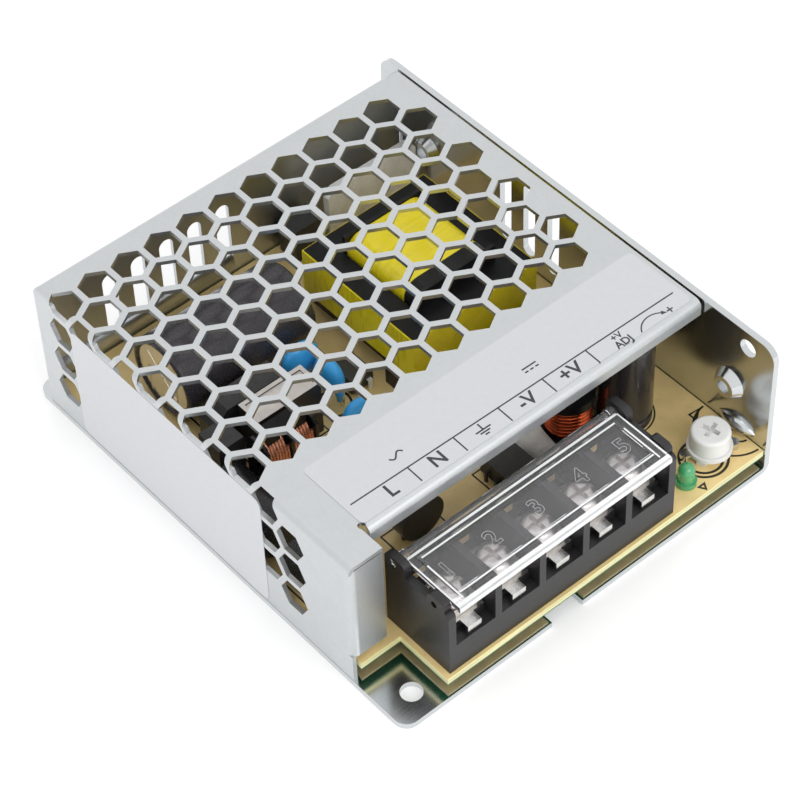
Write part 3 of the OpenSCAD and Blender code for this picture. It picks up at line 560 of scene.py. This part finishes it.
class SUPPLY_OT_stage(SupplyOperator, bpy.types.Operator):
    """Floor, white surroundings, soft lamps and the camera"""
    bl_idname = "supply.stage"
    bl_label = "Stage"

    def build(self, sizes, colours):
        scene = bpy.context.scene
        scene.view_settings.view_transform = "Standard"
        self.surroundings(scene)
        self.floor()
        for lamp in LAMPS:
            self.lamp(*lamp)
        self.camera(scene)

    @staticmethod
    def seen(tree):
        """One where a camera, mirror or glass ray looks, else nought."""
        path = tree.nodes.new("ShaderNodeLightPath")
        first = math_node(tree, "MAXIMUM", path.outputs["Is Camera Ray"], path.outputs["Is Glossy Ray"])
        return math_node(tree, "MAXIMUM", first, path.outputs["Is Transmission Ray"])

    @staticmethod
    def surroundings(scene):
        world = bpy.data.worlds.new("white_room")
        world.use_nodes = True
        sky = world.node_tree.nodes["Background"]
        sky.inputs["Color"].default_value = (1.0, 1.0, 1.0, 1.0)
        sky.inputs["Strength"].default_value = 1.0
        scene.world = world

    def floor(self):
        bm = bmesh.new()
        bmesh.ops.create_grid(bm, x_segments=4, y_segments=4, size=FLOOR_REACH)
        material, tree, shader = bare_material("white_floor")
        shader.inputs["Base Color"].default_value = (FLOOR_WHITE, FLOOR_WHITE, FLOOR_WHITE, 1.0)
        shader.inputs["Roughness"].default_value = 0.9
        glow = tree.nodes.new("ShaderNodeEmission")
        glow.inputs["Color"].default_value = (1.0, 1.0, 1.0, 1.0)
        tree.links.new(math_node(tree, "MULTIPLY", self.seen(tree), FLOOR_GLOW), glow.inputs["Strength"])
        both = tree.nodes.new("ShaderNodeAddShader")
        tree.links.new(shader.outputs[0], both.inputs[0])
        tree.links.new(glow.outputs[0], both.inputs[1])
        tree.links.new(both.outputs[0], tree.nodes["Material Output"].inputs["Surface"])
        made = new_object("floor", to_mesh("floor", bm, material))

    @staticmethod
    def lamp(name, spot, size, power):
        data = bpy.data.lights.new(name, "AREA")
        data.shape = "SQUARE"
        data.size = size
        data.energy = power
        made = new_object(name, data)
        made.location = spot
        made.rotation_euler = (LAMP_AIM - Vector(spot)).to_track_quat("-Z", "Y").to_euler()

    @staticmethod
    def camera(scene):
        right = Vector((math.cos(CAMERA_TURN), math.sin(CAMERA_TURN), 0.0))
        level = Vector((right.y, -right.x, 0.0))
        back = math.cos(CAMERA_RISE) * level + Vector((0.0, 0.0, math.sin(CAMERA_RISE)))
        up = back.cross(right)
        across = math.cos(CAMERA_ROLL) * right + math.sin(CAMERA_ROLL) * up
        upright = math.cos(CAMERA_ROLL) * up - math.sin(CAMERA_ROLL) * right
        spot = CAMERA_AIM + CAMERA_REACH * back
        data = bpy.data.cameras.new("camera")
        data.lens = CAMERA_LENS
        data.sensor_width = CAMERA_SENSOR
        data.clip_start = 0.01
        made = new_object("camera", data)
        made.matrix_world = Matrix.Translation(spot) @ Matrix((across, upright, back)).transposed().to_4x4()
        scene.camera = made


class SUPPLY_OT_sheet_metal(SupplyOperator, bpy.types.Operator):
    """Galvanised base and cover with its rear bead, plated supports and the heat plate"""
    bl_idname = "supply.sheet_metal"
    bl_label = "Sheet metal"

    def build(self, sizes, colours):
        cover = finish("zinc_cover_sheet", colours.sheet, (0.36, 0.44), mottle=420.0, relief=0.002,
                       contrast=0.03, group=sheet_group(), Metallic=1.0)
        base = finish("zinc_base_sheet", shade(colours.sheet, 1.04), (0.16, 0.22), mottle=360.0,
                      relief=0.001, contrast=0.025, group=sheet_group(), Metallic=1.0)
        plated = metal("bright_plating", colours.plating, (0.10, 0.16), 900.0)
        # painted reflection: the heat plate is near-white and barely metallic, so that it looks as bright
        # as the light it reflects from above
        plate_reflection_white = metal("plate_painted_reflection", (0.95, 0.95, 0.94), (0.3, 0.4), 500.0, amount=0.1)
        dress(cover, "top_cover")
        dress(base, "base_chassis")
        dress(plated, "board_supports")
        dress(plate_reflection_white, "heat_plate")
        self.bead(cover)

    @staticmethod
    def bead(cover):
        """Stiffening bead pressed into the foot of the cover's rear wall."""
        low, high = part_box("top_cover")
        wall, level = high.y - 0.8 * MM, BOARD_TOP + 3.0 * MM
        depth, half, steps = 0.9 * MM, 1.7 * MM, 12
        turns = [math.pi * k / steps for k in range(steps + 1)]
        bow = [(wall - depth * math.sin(a), level - half * math.cos(a)) for a in turns]
        bm = bmesh.new()
        extrusion(bm, bow, low.x + 2.5 * MM, middle("bulk_capacitor").x + 14.0 * MM)
        add_piece("rear_bead", bm, cover, smooth=True)


class SUPPLY_OT_labels(SupplyOperator, bpy.types.Operator):
    """Silver-white stickers with their rule, ticks and terminal marks"""
    bl_idname = "supply.labels"
    bl_label = "Labels"

    def build(self, sizes, colours):
        # painted shade: the top sticker is darkened to 0.80 to offset the stronger light from above, and
        # the side sticker to 0.97 to offset the key lamp; the two are lit and shaded copies of one paper
        papers = (("side_label", "sticker_paper", 0.97), ("top_label", "top_sticker_painted_shade", 0.80))
        for node, name, painted_shade_tone in papers:
            paper = finish(name, shade(colours.label, painted_shade_tone), (0.36, 0.46), mottle=900.0, grain=6000.0,
                           relief=0.05, contrast=0.012)
            dress(paper, node)
        ink = finish("sticker_ink", colours.ink, (0.4, 0.5), mottle=900.0, relief=0.04)
        bm = bmesh.new()
        z, rise, line = LABEL_HIGH.z, sizes.print_rise, sizes.line_w
        rule_y = LABEL_LOW.y + 3.75 * MM
        shift = -0.3 * MM
        pitch = WAY_X[1] - WAY_X[0]
        ribbon(bm, [(LABEL_LOW.x + 1.2 * MM, rule_y), (LABEL_HIGH.x - 1.3 * MM, rule_y)], line, z, rise)
        for x in WAY_X:
            edge = x + pitch / 2 + shift
            ribbon(bm, [(edge, rule_y - line / 2), (edge, LABEL_LOW.y + 0.1 * MM)], line, z, rise)
        mark_y = LABEL_LOW.y + 1.95 * MM
        for x, text in zip(WAY_X, ("L", "N", "", "-V", "+V")):
            if text:
                lettering(bm, text, sizes.mark_h, (x + shift, mark_y), z, rise, heavier=0.018)
        self.earth(bm, WAY_X[2] + shift, mark_y, z, rise, line)
        self.adjuster(bm, WAY_X[4] + 10.4 * MM, LABEL_LOW.y + 1.1 * MM, z, rise, line)
        self.current_signs(bm, z, rise, line)
        print_centre = (LABEL_LOW + LABEL_HIGH) / 2
        skew = Matrix.Rotation(math.radians(-0.9), 3, "Z")
        bmesh.ops.rotate(bm, cent=print_centre, matrix=skew, verts=bm.verts)
        add_piece("sticker_marks", bm, ink)

    @staticmethod
    def earth(bm, x, y, z, rise, line):
        """Earth sign: a stem and three bars."""
        bar_y = y - 0.1 * MM
        ribbon(bm, [(x, y + 1.35 * MM), (x, bar_y)], line * 1.1, z, rise)
        for half, drop in ((1.55, 0.0), (1.0, 0.55), (0.42, 1.1)):
            level = bar_y - drop * MM
            ribbon(bm, [(x - half * MM, level), (x + half * MM, level)], line * 1.1, z, rise)

    @staticmethod
    def adjuster(bm, x, y, z, rise, line):
        """Adjuster sign: its word, and an arc with an arrow towards plus."""
        lettering(bm, "ADJ", 2.0 * MM, (x, y - 0.3 * MM), z, rise, heavier=0.02)
        lettering(bm, "+V", 1.35 * MM, (x, y + 1.6 * MM), z, rise, heavier=0.018)
        centre = (x + 6.9 * MM, y - 2.25 * MM)
        sweep = arc(centre, 3.6 * MM, 152.0, 52.0, 18)
        ribbon(bm, sweep, line * 0.9, z, rise)
        tip, neck = Vector(sweep[-1]), Vector(sweep[-3])
        along = (tip - neck).normalized()
        side = Vector((-along.y, along.x)) * 0.45 * MM
        head = [tip + along * 1.0 * MM, tip + side, tip - side]
        extrusion(bm, head, z, z + rise, axis="Z")
        lettering(bm, "+", 1.3 * MM, (x + 10.7 * MM, y + 0.2 * MM), z, rise, heavier=0.01)

    @staticmethod
    def current_signs(bm, z, rise, line):
        """Signs for alternating current over the inputs and direct current over the outputs."""
        y = LABEL_LOW.y + 6.9 * MM
        x = (WAY_X[0] + WAY_X[1]) / 2
        wave = [(x + t * 0.18 * MM, y + 0.55 * MM * math.sin(t * math.pi / 8)) for t in range(-8, 9)]
        ribbon(bm, wave, line * 1.1, z, rise)
        x = (WAY_X[3] + WAY_X[4]) / 2
        gap = 0.4 * MM
        ribbon(bm, [(x - 1.5 * MM, y + gap), (x + 1.5 * MM, y + gap)], line * 1.1, z, rise)
        for k in (-1.1, 0.0, 1.1):
            dash = [(x + (k - 0.35) * MM, y - gap), (x + (k + 0.35) * MM, y - gap)]
            ribbon(bm, dash, line * 1.1, z, rise)


class SUPPLY_OT_board(SupplyOperator, bpy.types.Operator):
    """Circuit board with its printed legend, and the insulating film"""
    bl_idname = "supply.board"
    bl_label = "Board"

    def build(self, sizes, colours):
        dress(self.laminate(colours), "circuit_board")
        film = finish("amber_film", (0.52, 0.42, 0.22), (0.1, 0.16), mottle=500.0, relief=0.0,
                      Transmission_Weight=0.35)
        dress(film, "insulating_film")
        ink = finish("legend_ink", (0.020, 0.018, 0.014), (0.45, 0.6), mottle=900.0)
        bm = bmesh.new()
        z, rise, line = BOARD_TOP, sizes.print_rise, sizes.legend_w
        knob = middle("trimmer_knob")
        spot = Vector((knob.x, knob.y))
        foot = spot + Vector((-1.6, -0.3)) * MM
        disc = middle("disc_capacitors") + Vector((1.2, 0.3, 0.0)) * MM
        circles = [(middle("drum_core"), 5.3, 1.0), (foot, 4.2, 1.6), (foot, 3.3, 1.6), (disc, 3.0, 1.5)]
        for centre, radius, weight in circles:
            ribbon(bm, arc(centre, radius * MM), line * weight, z, rise, closed=True)
        low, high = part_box("output_capacitors")
        reach = (high.x - low.x) / 2
        for y in (low.y + reach, high.y - reach):
            ribbon(bm, arc((low.x + reach, y), reach + 0.4 * MM), line, z, rise, closed=True)
        for centre, radius, start, end in (((7.0, 1.5), 6.6, 93.0, 267.0), ((6.8, -0.6), 1.7, 95.0, 265.0)):
            ribbon(bm, arc(spot + Vector(centre) * MM, radius * MM, start, end, 30), line * 1.3, z, rise)
        arrow = ((3.5, 8.3), (5.7, 8.1), (3.5, 6.6))
        diode = ((-6.7, -4.3), (-5.4, -4.3), (-6.05, -5.4))
        for corners in (arrow, diode):
            ribbon(bm, [spot + Vector(c) * MM for c in corners], line * 1.2, z, rise, closed=True)
        outlines = {"fuse": 0.7, "choke_base": 0.5, "filter_capacitor": 0.6, "bridge_rectifier": 0.6,
                    "bulk_capacitor": 0.5, "thermistor": 0.6, "optocoupler": 0.5, "film_capacitor": 0.6}
        for node, margin in outlines.items():
            low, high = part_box(node)
            x0, y0, x1, y1 = (edge + side * margin * MM for edge, side in (
                (low.x, -1), (low.y, -1), (high.x, 1), (high.y, 1)))
            ribbon(bm, [(x0, y0), (x1, y0), (x1, y1), (x0, y1)], line, z, rise, closed=True)
        add_piece("board_legend", bm, ink)

    @staticmethod
    def laminate(colours):
        """Tan paper laminate with a paler cut edge and a green solder side."""
        material, tree, shader = bare_material("paper_laminate")
        node = grain_node(tree, grain_group(), colours.laminate, 0.08, (0.26, 0.36), 160.0, 2400.0)
        split = tree.nodes.new("ShaderNodeSeparateXYZ")
        tree.links.new(place(tree), split.inputs[0])
        top = spread(tree, split.outputs["Z"], BOARD_TOP - 0.08 * MM, BOARD_TOP - 0.03 * MM, 0.0, 1.0)
        layers = noise(tree, place(tree, (40.0, 40.0, 1800.0)), 2.0, 3.0)
        edge = mottled(tree, layers, shade(colours.laminate_edge, 0.8), shade(colours.laminate_edge, 1.15))
        under = spread(tree, split.outputs["Z"], BOARD_LOW + 0.25 * MM, BOARD_LOW + 0.3 * MM, 0.0, 1.0)
        sides = blend(tree, under, colours.solder_mask, edge)
        feed(tree, shader, blend(tree, top, sides, node.outputs["Colour"]), node.outputs["Roughness"])
        bump(tree, shader, node.outputs["Height"], 0.1, 0.03 * MM)
        return material


class SUPPLY_OT_terminals(SupplyOperator, bpy.types.Operator):
    """Black terminal block with plated contacts, washers and screws"""
    bl_idname = "supply.terminals"
    bl_label = "Terminals"

    def build(self, sizes, colours):
        black = finish("moulded_black", colours.plastic, (0.34, 0.46), mottle=700.0, grain=4200.0,
                       relief=0.05, Specular_IOR_Level=0.5)
        tin = metal("tinned_contact", shade(colours.plating, 1.05), (0.16, 0.24), 700.0)
        nickel = metal("nickel_clamp", (0.74, 0.70, 0.68), (0.30, 0.42), 1100.0, contrast=0.1)
        dress(black, "terminal_housing")
        dress(tin, "terminal_contacts")
        dress(nickel, *(f"{kind}_{i}" for kind in ("clamp_washer", "terminal_screw") for i in WAYS))


class SUPPLY_OT_lid(SupplyOperator, bpy.types.Operator):
    """Clear lid with bright edges and outlined numerals"""
    bl_idname = "supply.lid"
    bl_label = "Lid"

    def build(self, sizes, colours):
        clear = finish("clear_lid", (0.96, 0.96, 0.98), (0.0, 0.012), mottle=200.0, relief=0.0,
                       contrast=0.01, Transmission_Weight=0.955, IOR=1.46)
        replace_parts(self.shell(sizes, clear), "terminal_lid")
        bright = finish("lid_edge_light", (0.93, 0.94, 0.94), (0.12, 0.2), relief=0.0, contrast=0.04,
                        Transmission_Weight=0.1, IOR=1.46)
        frosted = finish("frosted_numerals", (0.80, 0.81, 0.82), (0.3, 0.4), mottle=900.0, relief=0.02,
                         Transmission_Weight=0.5, IOR=1.46)
        self.edges(sizes, bright)
        bm = bmesh.new()
        for i, x in zip(WAYS, WAY_X):
            spot = (x - 0.4 * MM, LID_LOW.y + 7.2 * MM)
            lettering(bm, str(i), sizes.numeral_h, spot, LID_TOP, 0.0, heavier=0.02,
                      outline=sizes.numeral_wire)
        add_piece("lid_numerals", bm, frosted, body="lid", smooth=True)

    @staticmethod
    def shell(sizes, clear):
        """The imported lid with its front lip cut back."""
        bm = bmesh.new()
        bm.from_mesh(NODES["terminal_lid"].data)
        for vert in bm.verts:
            if vert.co.z < LID_LOW.z + 0.1 * MM:
                vert.co.z = LID_TOP - sizes.lid_lip
        return add_piece("lid_shell", bm, clear, body="lid")

    @staticmethod
    def edges(sizes, bright):
        """Light caught in the lid's front lip, its outer edges and its raised frame."""
        bm = bmesh.new()
        skin, inner = 0.05 * MM, 0.01 * MM
        front, low, top = LID_LOW.y, LID_TOP - sizes.lid_lip, LID_TOP
        plate_low, plate_high = LID_LOW.x + LID_PIN_REACH, LID_HIGH.x - LID_PIN_REACH
        strip = sizes.lid_band
        bend = 0.45 * MM
        pivot = (front + bend, top - bend)
        outside = [(front - skin, low), *arc(pivot, bend + skin, 180.0, 90.0, 6),
                   (front + strip, top + skin)]
        inside = [(front + strip, top + inner), *arc(pivot, bend + inner, 90.0, 180.0, 6),
                  (front - inner, low)]
        extrusion(bm, outside + inside, plate_low, plate_high)
        rear = LID_HIGH.y - 2.3 * MM
        line = sizes.lid_line
        z = top + inner
        raised = z + LID_FRAME_RISE
        start = front + strip + 0.2 * MM
        for x, turn in ((plate_low + line / 2, 1.0), (plate_high - line / 2, -1.0)):
            ribbon(bm, [(x, start), (x, rear)], line, z, skin)
            step = x + turn * 1.5 * MM
            ribbon(bm, [(step, start), (step, front + 9.6 * MM)], line, raised, skin)
        ribbon(bm, [(plate_low + line, rear), (plate_high - line, rear)], line * 1.5, z, skin)
        for y in (front + 2.3 * MM, front + 11.4 * MM):
            ribbon(bm, [(plate_low + 2 * MM, y), (plate_high - 2 * MM, y)], line, raised, skin)
        add_piece("lid_edges", bm, bright, body="lid")


class SUPPLY_OT_controls(SupplyOperator, bpy.types.Operator):
    """White trimmer and green indicator"""
    bl_idname = "supply.controls"
    bl_label = "Trimmer and light"

    def build(self, sizes, colours):
        nylon = finish("white_nylon", colours.nylon, (0.34, 0.44), mottle=500.0, relief=0.06, contrast=0.02,
                       Specular_IOR_Level=0.4)
        tin = metal("trimmer_tin", colours.plating, (0.12, 0.2), 700.0)
        green = finish("green_lens", colours.light, (0.08, 0.14), mottle=600.0, relief=0.0,
                       Transmission_Weight=0.5, Coat_Weight=0.5)
        dress(nylon, "trimmer_base", "trimmer_knob")
        dress(tin, "trimmer_terminals")
        dress(green, "led")


class SUPPLY_OT_transformer(SupplyOperator, bpy.types.Operator):
    """Taped winding with its black margin, ferrite cores, and the bobbin with its foot"""
    bl_idname = "supply.transformer"
    bl_label = "Transformer"

    def build(self, sizes, colours):
        dress(self.tape(colours), "transformer_winding", "transformer_tape")
        ferrite = finish("ferrite_core", colours.ferrite, (0.28, 0.40), mottle=500.0, grain=5200.0,
                         relief=0.1, contrast=0.2, Specular_IOR_Level=0.18)
        dress(ferrite, "transformer_core", "choke_core", "drum_core")
        black = finish("bobbin_black", shade(colours.plastic, 0.7), (0.3, 0.42), mottle=700.0,
                       Specular_IOR_Level=0.25)
        dress(black, "transformer_bobbin", "choke_base")
        self.margin(black)
        self.foot(black)

    @staticmethod
    def foot(black):
        """Bobbin's foot at the front left corner, between the board and the core."""
        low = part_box("transformer_core")[0]
        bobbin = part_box("transformer_bobbin")[0]
        front, rear, drop = bobbin.y, low.y + 6.85 * MM, 0.6 * MM
        top = low.z - 0.1 * MM
        outline = [(front, BOARD_TOP), (rear, BOARD_TOP), (rear, top - drop), (rear - drop, top),
                   (front, top)]
        bm = bmesh.new()
        extrusion(bm, outline, low.x - 0.9 * MM, bobbin.x + 0.1 * MM)
        add_piece("bobbin_foot", bm, black)

    @staticmethod
    def margin(black):
        """Black margin at the winding's front end, close over the tape."""
        low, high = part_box("transformer_winding")
        over, bend, foot = 0.12 * MM, 3.1 * MM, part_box("transformer_core")[1].z - 0.5 * MM
        left, right, top = low.x - over, high.x + over, high.z + over
        outline = [(left, foot), *arc((left + bend, top - bend), bend, 180.0, 90.0, 8),
                   *arc((right - bend, top - bend), bend, 90.0, 0.0, 8), (right, foot)]
        bm = bmesh.new()
        extrusion(bm, outline, low.y - 0.05 * MM, low.y + 2.7 * MM, axis="Y")
        add_piece("winding_margin", bm, black)

    @staticmethod
    def tape(colours):
        """Polyester tape: glossy, a little uneven, creased along the wrap."""
        material, tree, shader = bare_material("yellow_tape")
        creases = noise(tree, place(tree, (1.0, 6.0, 1.0)), 160.0, 3.0)
        tint = mottled(tree, creases, shade(colours.tape, 0.9), colours.tape)
        feed(tree, shader, tint, spread(tree, creases, 0.3, 0.7, 0.22, 0.36))
        shader.inputs["Coat Weight"].default_value = 0.1
        bump(tree, shader, creases, 0.35, 0.25 * MM)
        return material


class SUPPLY_OT_windings(SupplyOperator, bpy.types.Operator):
    """Wound wire of the filter choke and the drum inductor"""
    bl_idname = "supply.windings"
    bl_label = "Windings"

    def build(self, sizes, colours):
        copper = finish("copper_turns", colours.copper, (0.18, 0.3), mottle=900.0, contrast=0.15,
                        Metallic=0.7)
        enamel = finish("red_enamel_wire", colours.enamel, (0.16, 0.26), mottle=700.0, contrast=0.2,
                        Metallic=0.85)
        self.choke(sizes, copper)
        self.drum(sizes, enamel)

    @staticmethod
    def choke(sizes, copper):
        """Two sections of the filter choke's wire between black cheeks, side by side along X."""
        low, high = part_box("choke_windings")
        centre = (low + high) / 2
        wire, cheek = sizes.choke_wire / 2, 0.6 * MM
        radius = (high.y - low.y) / 2 - wire
        run = (high.x - low.x - 3 * cheek) / 2 - 2 * wire
        tall = ((high.z - low.z) / 2 - wire) / radius
        tree, ids = wound_coil_tree("choke_coil", (0.0, math.pi / 2, 0.0), (tall, 1.0, 1.0))
        for side, x in (("left", low.x + cheek + wire), ("right", centre.x + cheek / 2 + wire)):
            values = {"Turns": run / (2 * wire), "Wire Radius": wire, "Radius": radius, "Height": run,
                      "Centre": (x, centre.y, centre.z), "Material": copper}
            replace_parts(grow(f"choke_wire_{side}", tree, ids, values), "choke_windings")
        black = finish("choke_black", (0.012, 0.012, 0.013), (0.2, 0.3), mottle=700.0, relief=0.0)
        over, cut = 0.3 * MM, 1.2 * MM
        y0, y1, z0, z1 = low.y - over, high.y + over, low.z - over, high.z + over
        outline = [(y0, z0), (y1, z0), (y1, z1 - cut), (y1 - cut, z1), (y0 + cut, z1), (y0, z1 - cut)]
        bm = bmesh.new()
        for x in (low.x, centre.x - cheek / 2, high.x - cheek):
            extrusion(bm, outline, x, x + cheek)
        add_piece("choke_cheeks", bm, black)

    @staticmethod
    def drum(sizes, enamel):
        """Upright wire of the drum inductor."""
        low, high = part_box("drum_winding")
        wire = sizes.drum_wire / 2
        run = high.z - low.z - 2 * wire
        centre = (low + high) / 2
        radius = (high.x - low.x) / 2 - wire
        values = {"Turns": run / (2 * wire), "Wire Radius": wire, "Radius": radius, "Height": run,
                  "Centre": (centre.x, centre.y, low.z + wire), "Material": enamel}
        tree, ids = wound_coil_tree("drum_coil")
        made = grow("drum_wire", tree, ids, values)
        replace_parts(made, "drum_winding")


class SUPPLY_OT_capacitors(SupplyOperator, bpy.types.Operator):
    """Sleeved, boxed and disc capacitors"""
    bl_idname = "supply.capacitors"
    bl_label = "Capacitors"

    def build(self, sizes, colours):
        sleeve = finish("pvc_sleeve", colours.sleeve, (0.24, 0.3), mottle=420.0, relief=0.0, contrast=0.02,
                        Coat_Weight=0.15)
        tall = finish("black_sleeve", shade(colours.sleeve, 0.45), (0.2, 0.28), mottle=420.0, relief=0.0,
                      contrast=0.03, Coat_Weight=0.2)
        blue = finish("blue_dip", colours.disc, (0.06, 0.1), mottle=500.0, relief=0.0, contrast=0.06,
                      Specular_IOR_Level=0.4)
        tin = metal("lead_wire", colours.plating, (0.2, 0.3), 900.0)
        bare = metal("bare_can_end", (0.95, 0.93, 0.88), (0.20, 0.23), 260.0, contrast=0.02, amount=0.85)
        self.bulk(sizes, sleeve, bare)
        dress(tall, "output_capacitors")
        dress(self.boxed(colours), "filter_capacitor")
        self.discs(blue)
        dress(tin, "bulk_capacitor_leads", "disc_capacitor_leads")

    @staticmethod
    def bulk(sizes, sleeve, bare):
        """Lying can in its sleeve, with a bare scored end."""
        low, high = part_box("bulk_capacitor")
        radius, reach = (high.z - low.z) / 2 / MM, (high.x - low.x + sizes.can_reach) / MM
        centre = Vector((high.x, (low.y + high.y) / 2, (low.z + high.z) / 2))
        rear_edge = [(0.0, 0.0), (radius - 0.62, 0.0), (radius - 0.6, 0.0), (radius, -0.6), (radius, -0.62)]
        front_edge = [(radius, 0.68 - reach), (radius, 0.66 - reach), (radius - 0.15, 0.2 - reach),
                      (radius - 0.6, -reach), (radius - 1.1, 0.08 - reach), (radius - 1.28, 0.5 - reach),
                      (radius - 1.3, 0.52 - reach), (0.0, 0.52 - reach)]
        bm = bmesh.new()
        lathe(bm, in_mm(rear_edge + front_edge), centre, "X", CAN_STEPS)
        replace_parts(add_piece("bulk_sleeve", bm, sleeve, smooth=True), "bulk_capacitor")
        bm = bmesh.new()
        face = 0.5 - reach
        plate = ((0.0, face), (radius - 1.4, face), (radius - 1.4, face - 0.1), (0.0, face - 0.1))
        lathe(bm, in_mm(plate), centre, "X", CAN_STEPS)
        far, half = (radius - 2.4) * MM, 0.14 * MM
        for turn in (math.radians(45.0), math.radians(135.0)):
            along = Vector((math.cos(turn), math.sin(turn))) * far
            side = Vector((-along.y, along.x)).normalized() * half
            axis = Vector((centre.y, centre.z))
            corners = [axis + along + side, axis + along - side, axis - along - side, axis - along + side]
            x = centre.x + (face - 0.1) * MM
            extrusion(bm, [tuple(c) for c in corners], x - 0.06 * MM, x + 0.02 * MM)
        add_piece("bulk_can_end", bm, bare)

    @staticmethod
    def boxed(colours):
        """Boxed capacitor: black case whose upward faces get a pale colour, painted light from above."""
        material, tree, shader = bare_material("boxed_capacitor")
        facing = tree.nodes.new("ShaderNodeTexCoord")
        split = tree.nodes.new("ShaderNodeSeparateXYZ")
        tree.links.new(facing.outputs["Normal"], split.inputs[0])
        # painted light: faces that point up take the pale colour, as if lit from above; the other faces
        # keep the black case colour
        resin = spread(tree, split.outputs["Z"], 0.6, 0.7, 0.0, 1.0)
        cloud = noise(tree, place(tree), 500.0, 3.0)
        pale = mottled(tree, cloud, shade(colours.resin, 0.92), shade(colours.resin, 1.05))
        tint = blend(tree, resin, shade(colours.plastic, 1.2), pale)
        feed(tree, shader, tint, spread(tree, cloud, 0.3, 0.7, 0.3, 0.42))
        return material

    @staticmethod
    def discs(blue):
        """Dipped disc capacitors: lens bodies with resin run down their leads."""
        low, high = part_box("disc_capacitors")
        edge, half = 4.0 * MM, 1.8 * MM
        z = (low.z + high.z) / 2
        rear = high.y - half
        spots = [(low.x + edge, rear, z, 3.9 * MM, "Y"),
                 (low.x + edge + 1.5 * MM, rear - 6.0 * MM, z, 3.5 * MM, "X"),
                 (low.x + edge, low.y + half - 0.5 * MM, z - 1.2 * MM, 3.5 * MM, "Y")]
        bm = bmesh.new()
        drip = [(0.0, -1.6), (0.55, -1.5), (0.75, 0.0), (0.9, 1.4), (0.0, 2.0)]
        steps = 16
        turns = [math.pi * k / steps for k in range(steps + 1)]
        for x, y, level, reach, axis in spots:
            lens = [(reach * math.sin(a) ** 0.85, -half * math.cos(a)) for a in turns]
            lathe(bm, lens, (x, y, level), axis)
            for side in (-2.5 * MM, 2.5 * MM):
                foot_x, foot_y = (x + side, y) if axis == "Y" else (x, y + side)
                foot = (foot_x, foot_y, low.z + 0.9 * MM)
                lathe(bm, in_mm(drip), foot, "Z", DRIP_STEPS)
        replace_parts(add_piece("disc_bodies", bm, blue, smooth=True), "disc_capacitors")


class SUPPLY_OT_small_parts(SupplyOperator, bpy.types.Operator):
    """Fuse, rectifier, line inductor, thermistor, film capacitor, chips, transistor and sealant"""
    bl_idname = "supply.small_parts"
    bl_label = "Small parts"

    def build(self, sizes, colours):
        black = finish("moulded_epoxy", (0.034, 0.033, 0.033), (0.3, 0.45), mottle=600.0, contrast=0.15)
        wrap = finish("shrink_sleeve", (0.018, 0.018, 0.019), (0.22, 0.32), mottle=300.0, relief=0.1)
        seal = finish("white_sealant", colours.sealant, (0.22, 0.34), mottle=260.0, grain=900.0, relief=0.2,
                      contrast=0.03)
        dress(black, "bridge_rectifier", "optocoupler", "thermistor", "film_capacitor", "transistor")
        dress(wrap, "fuse", "line_inductor")
        dress(seal, "silicone_beads")
        self.chip(black, metal("chip_legs", (0.92, 0.91, 0.89), (0.25, 0.35), 900.0, amount=0.3))

    @staticmethod
    def chip(black, tin):
        """Small chip on four legs, between the disc capacitors and the transformer."""
        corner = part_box("disc_capacitors")[1]
        x, y = corner.x + 2.95 * MM, corner.y - 6.8 * MM
        low, seam, top = (BOARD_TOP + h * MM for h in (0.4, 1.9, 3.6))
        wide, waist, across = 2.35 * MM, 3.2 * MM, 3.0 * MM
        body = [(y - waist, seam), (y - across, low), (y + across, low),
                (y + waist, seam), (y + across, top), (y - across, top)]
        bm = bmesh.new()
        extrusion(bm, body, x - wide, x + wide)
        add_piece("control_chip", bm, black)
        bm = bmesh.new()
        root, bend, thick, half = waist - 0.1 * MM, 3.81 * MM, 0.25 * MM, 0.45 * MM
        for side in (-1, 1):
            leg = [(root, seam), (bend - thick, seam), (bend - thick, BOARD_TOP), (bend, BOARD_TOP),
                   (bend, seam + thick * 0.6), (bend - thick * 0.4, seam + thick), (root, seam + thick)]
            for centre in (x - 1.27 * MM, x + 1.27 * MM):
                extrusion(bm, [(y + side * reach, z) for reach, z in leg], centre - half, centre + half)
        add_piece("control_chip_legs", bm, tin)


class SUPPLY_PT_panel(bpy.types.Panel):
    """Steps that dress the supply"""
    bl_label = "Switching power supply"
    bl_idname = "SUPPLY_PT_panel"
    bl_space_type = "VIEW_3D"
    bl_region_type = "UI"
    bl_category = "Supply"

    def draw(self, context):
        for group in (context.scene.supply_sizes, context.scene.supply_colours):
            column = self.layout.column()
            for name in group.__annotations__:
                column.prop(group, name)
        for step in STEPS:
            self.layout.operator(step.bl_idname)


STEPS = (
    SUPPLY_OT_stage, SUPPLY_OT_sheet_metal, SUPPLY_OT_labels, SUPPLY_OT_board,
    SUPPLY_OT_terminals, SUPPLY_OT_lid, SUPPLY_OT_controls, SUPPLY_OT_transformer,
    SUPPLY_OT_windings, SUPPLY_OT_capacitors, SUPPLY_OT_small_parts,
)
CLASSES = (SupplyColours, SupplySizes, *STEPS, SUPPLY_PT_panel)


def register():
    for cls in CLASSES:
        bpy.utils.register_class(cls)
    bpy.types.Scene.supply_colours = bpy.props.PointerProperty(type=SupplyColours)
    bpy.types.Scene.supply_sizes = bpy.props.PointerProperty(type=SupplySizes)


def unregister():
    del bpy.types.Scene.supply_sizes
    del bpy.types.Scene.supply_colours
    for cls in reversed(CLASSES):
        bpy.utils.unregister_class(cls)


def main():
    register()
    for step in STEPS:
        getattr(bpy.ops.supply, step.bl_idname.split(".")[1])()
    bpy.context.view_layer.update()


if __name__ == "__main__":
    main()
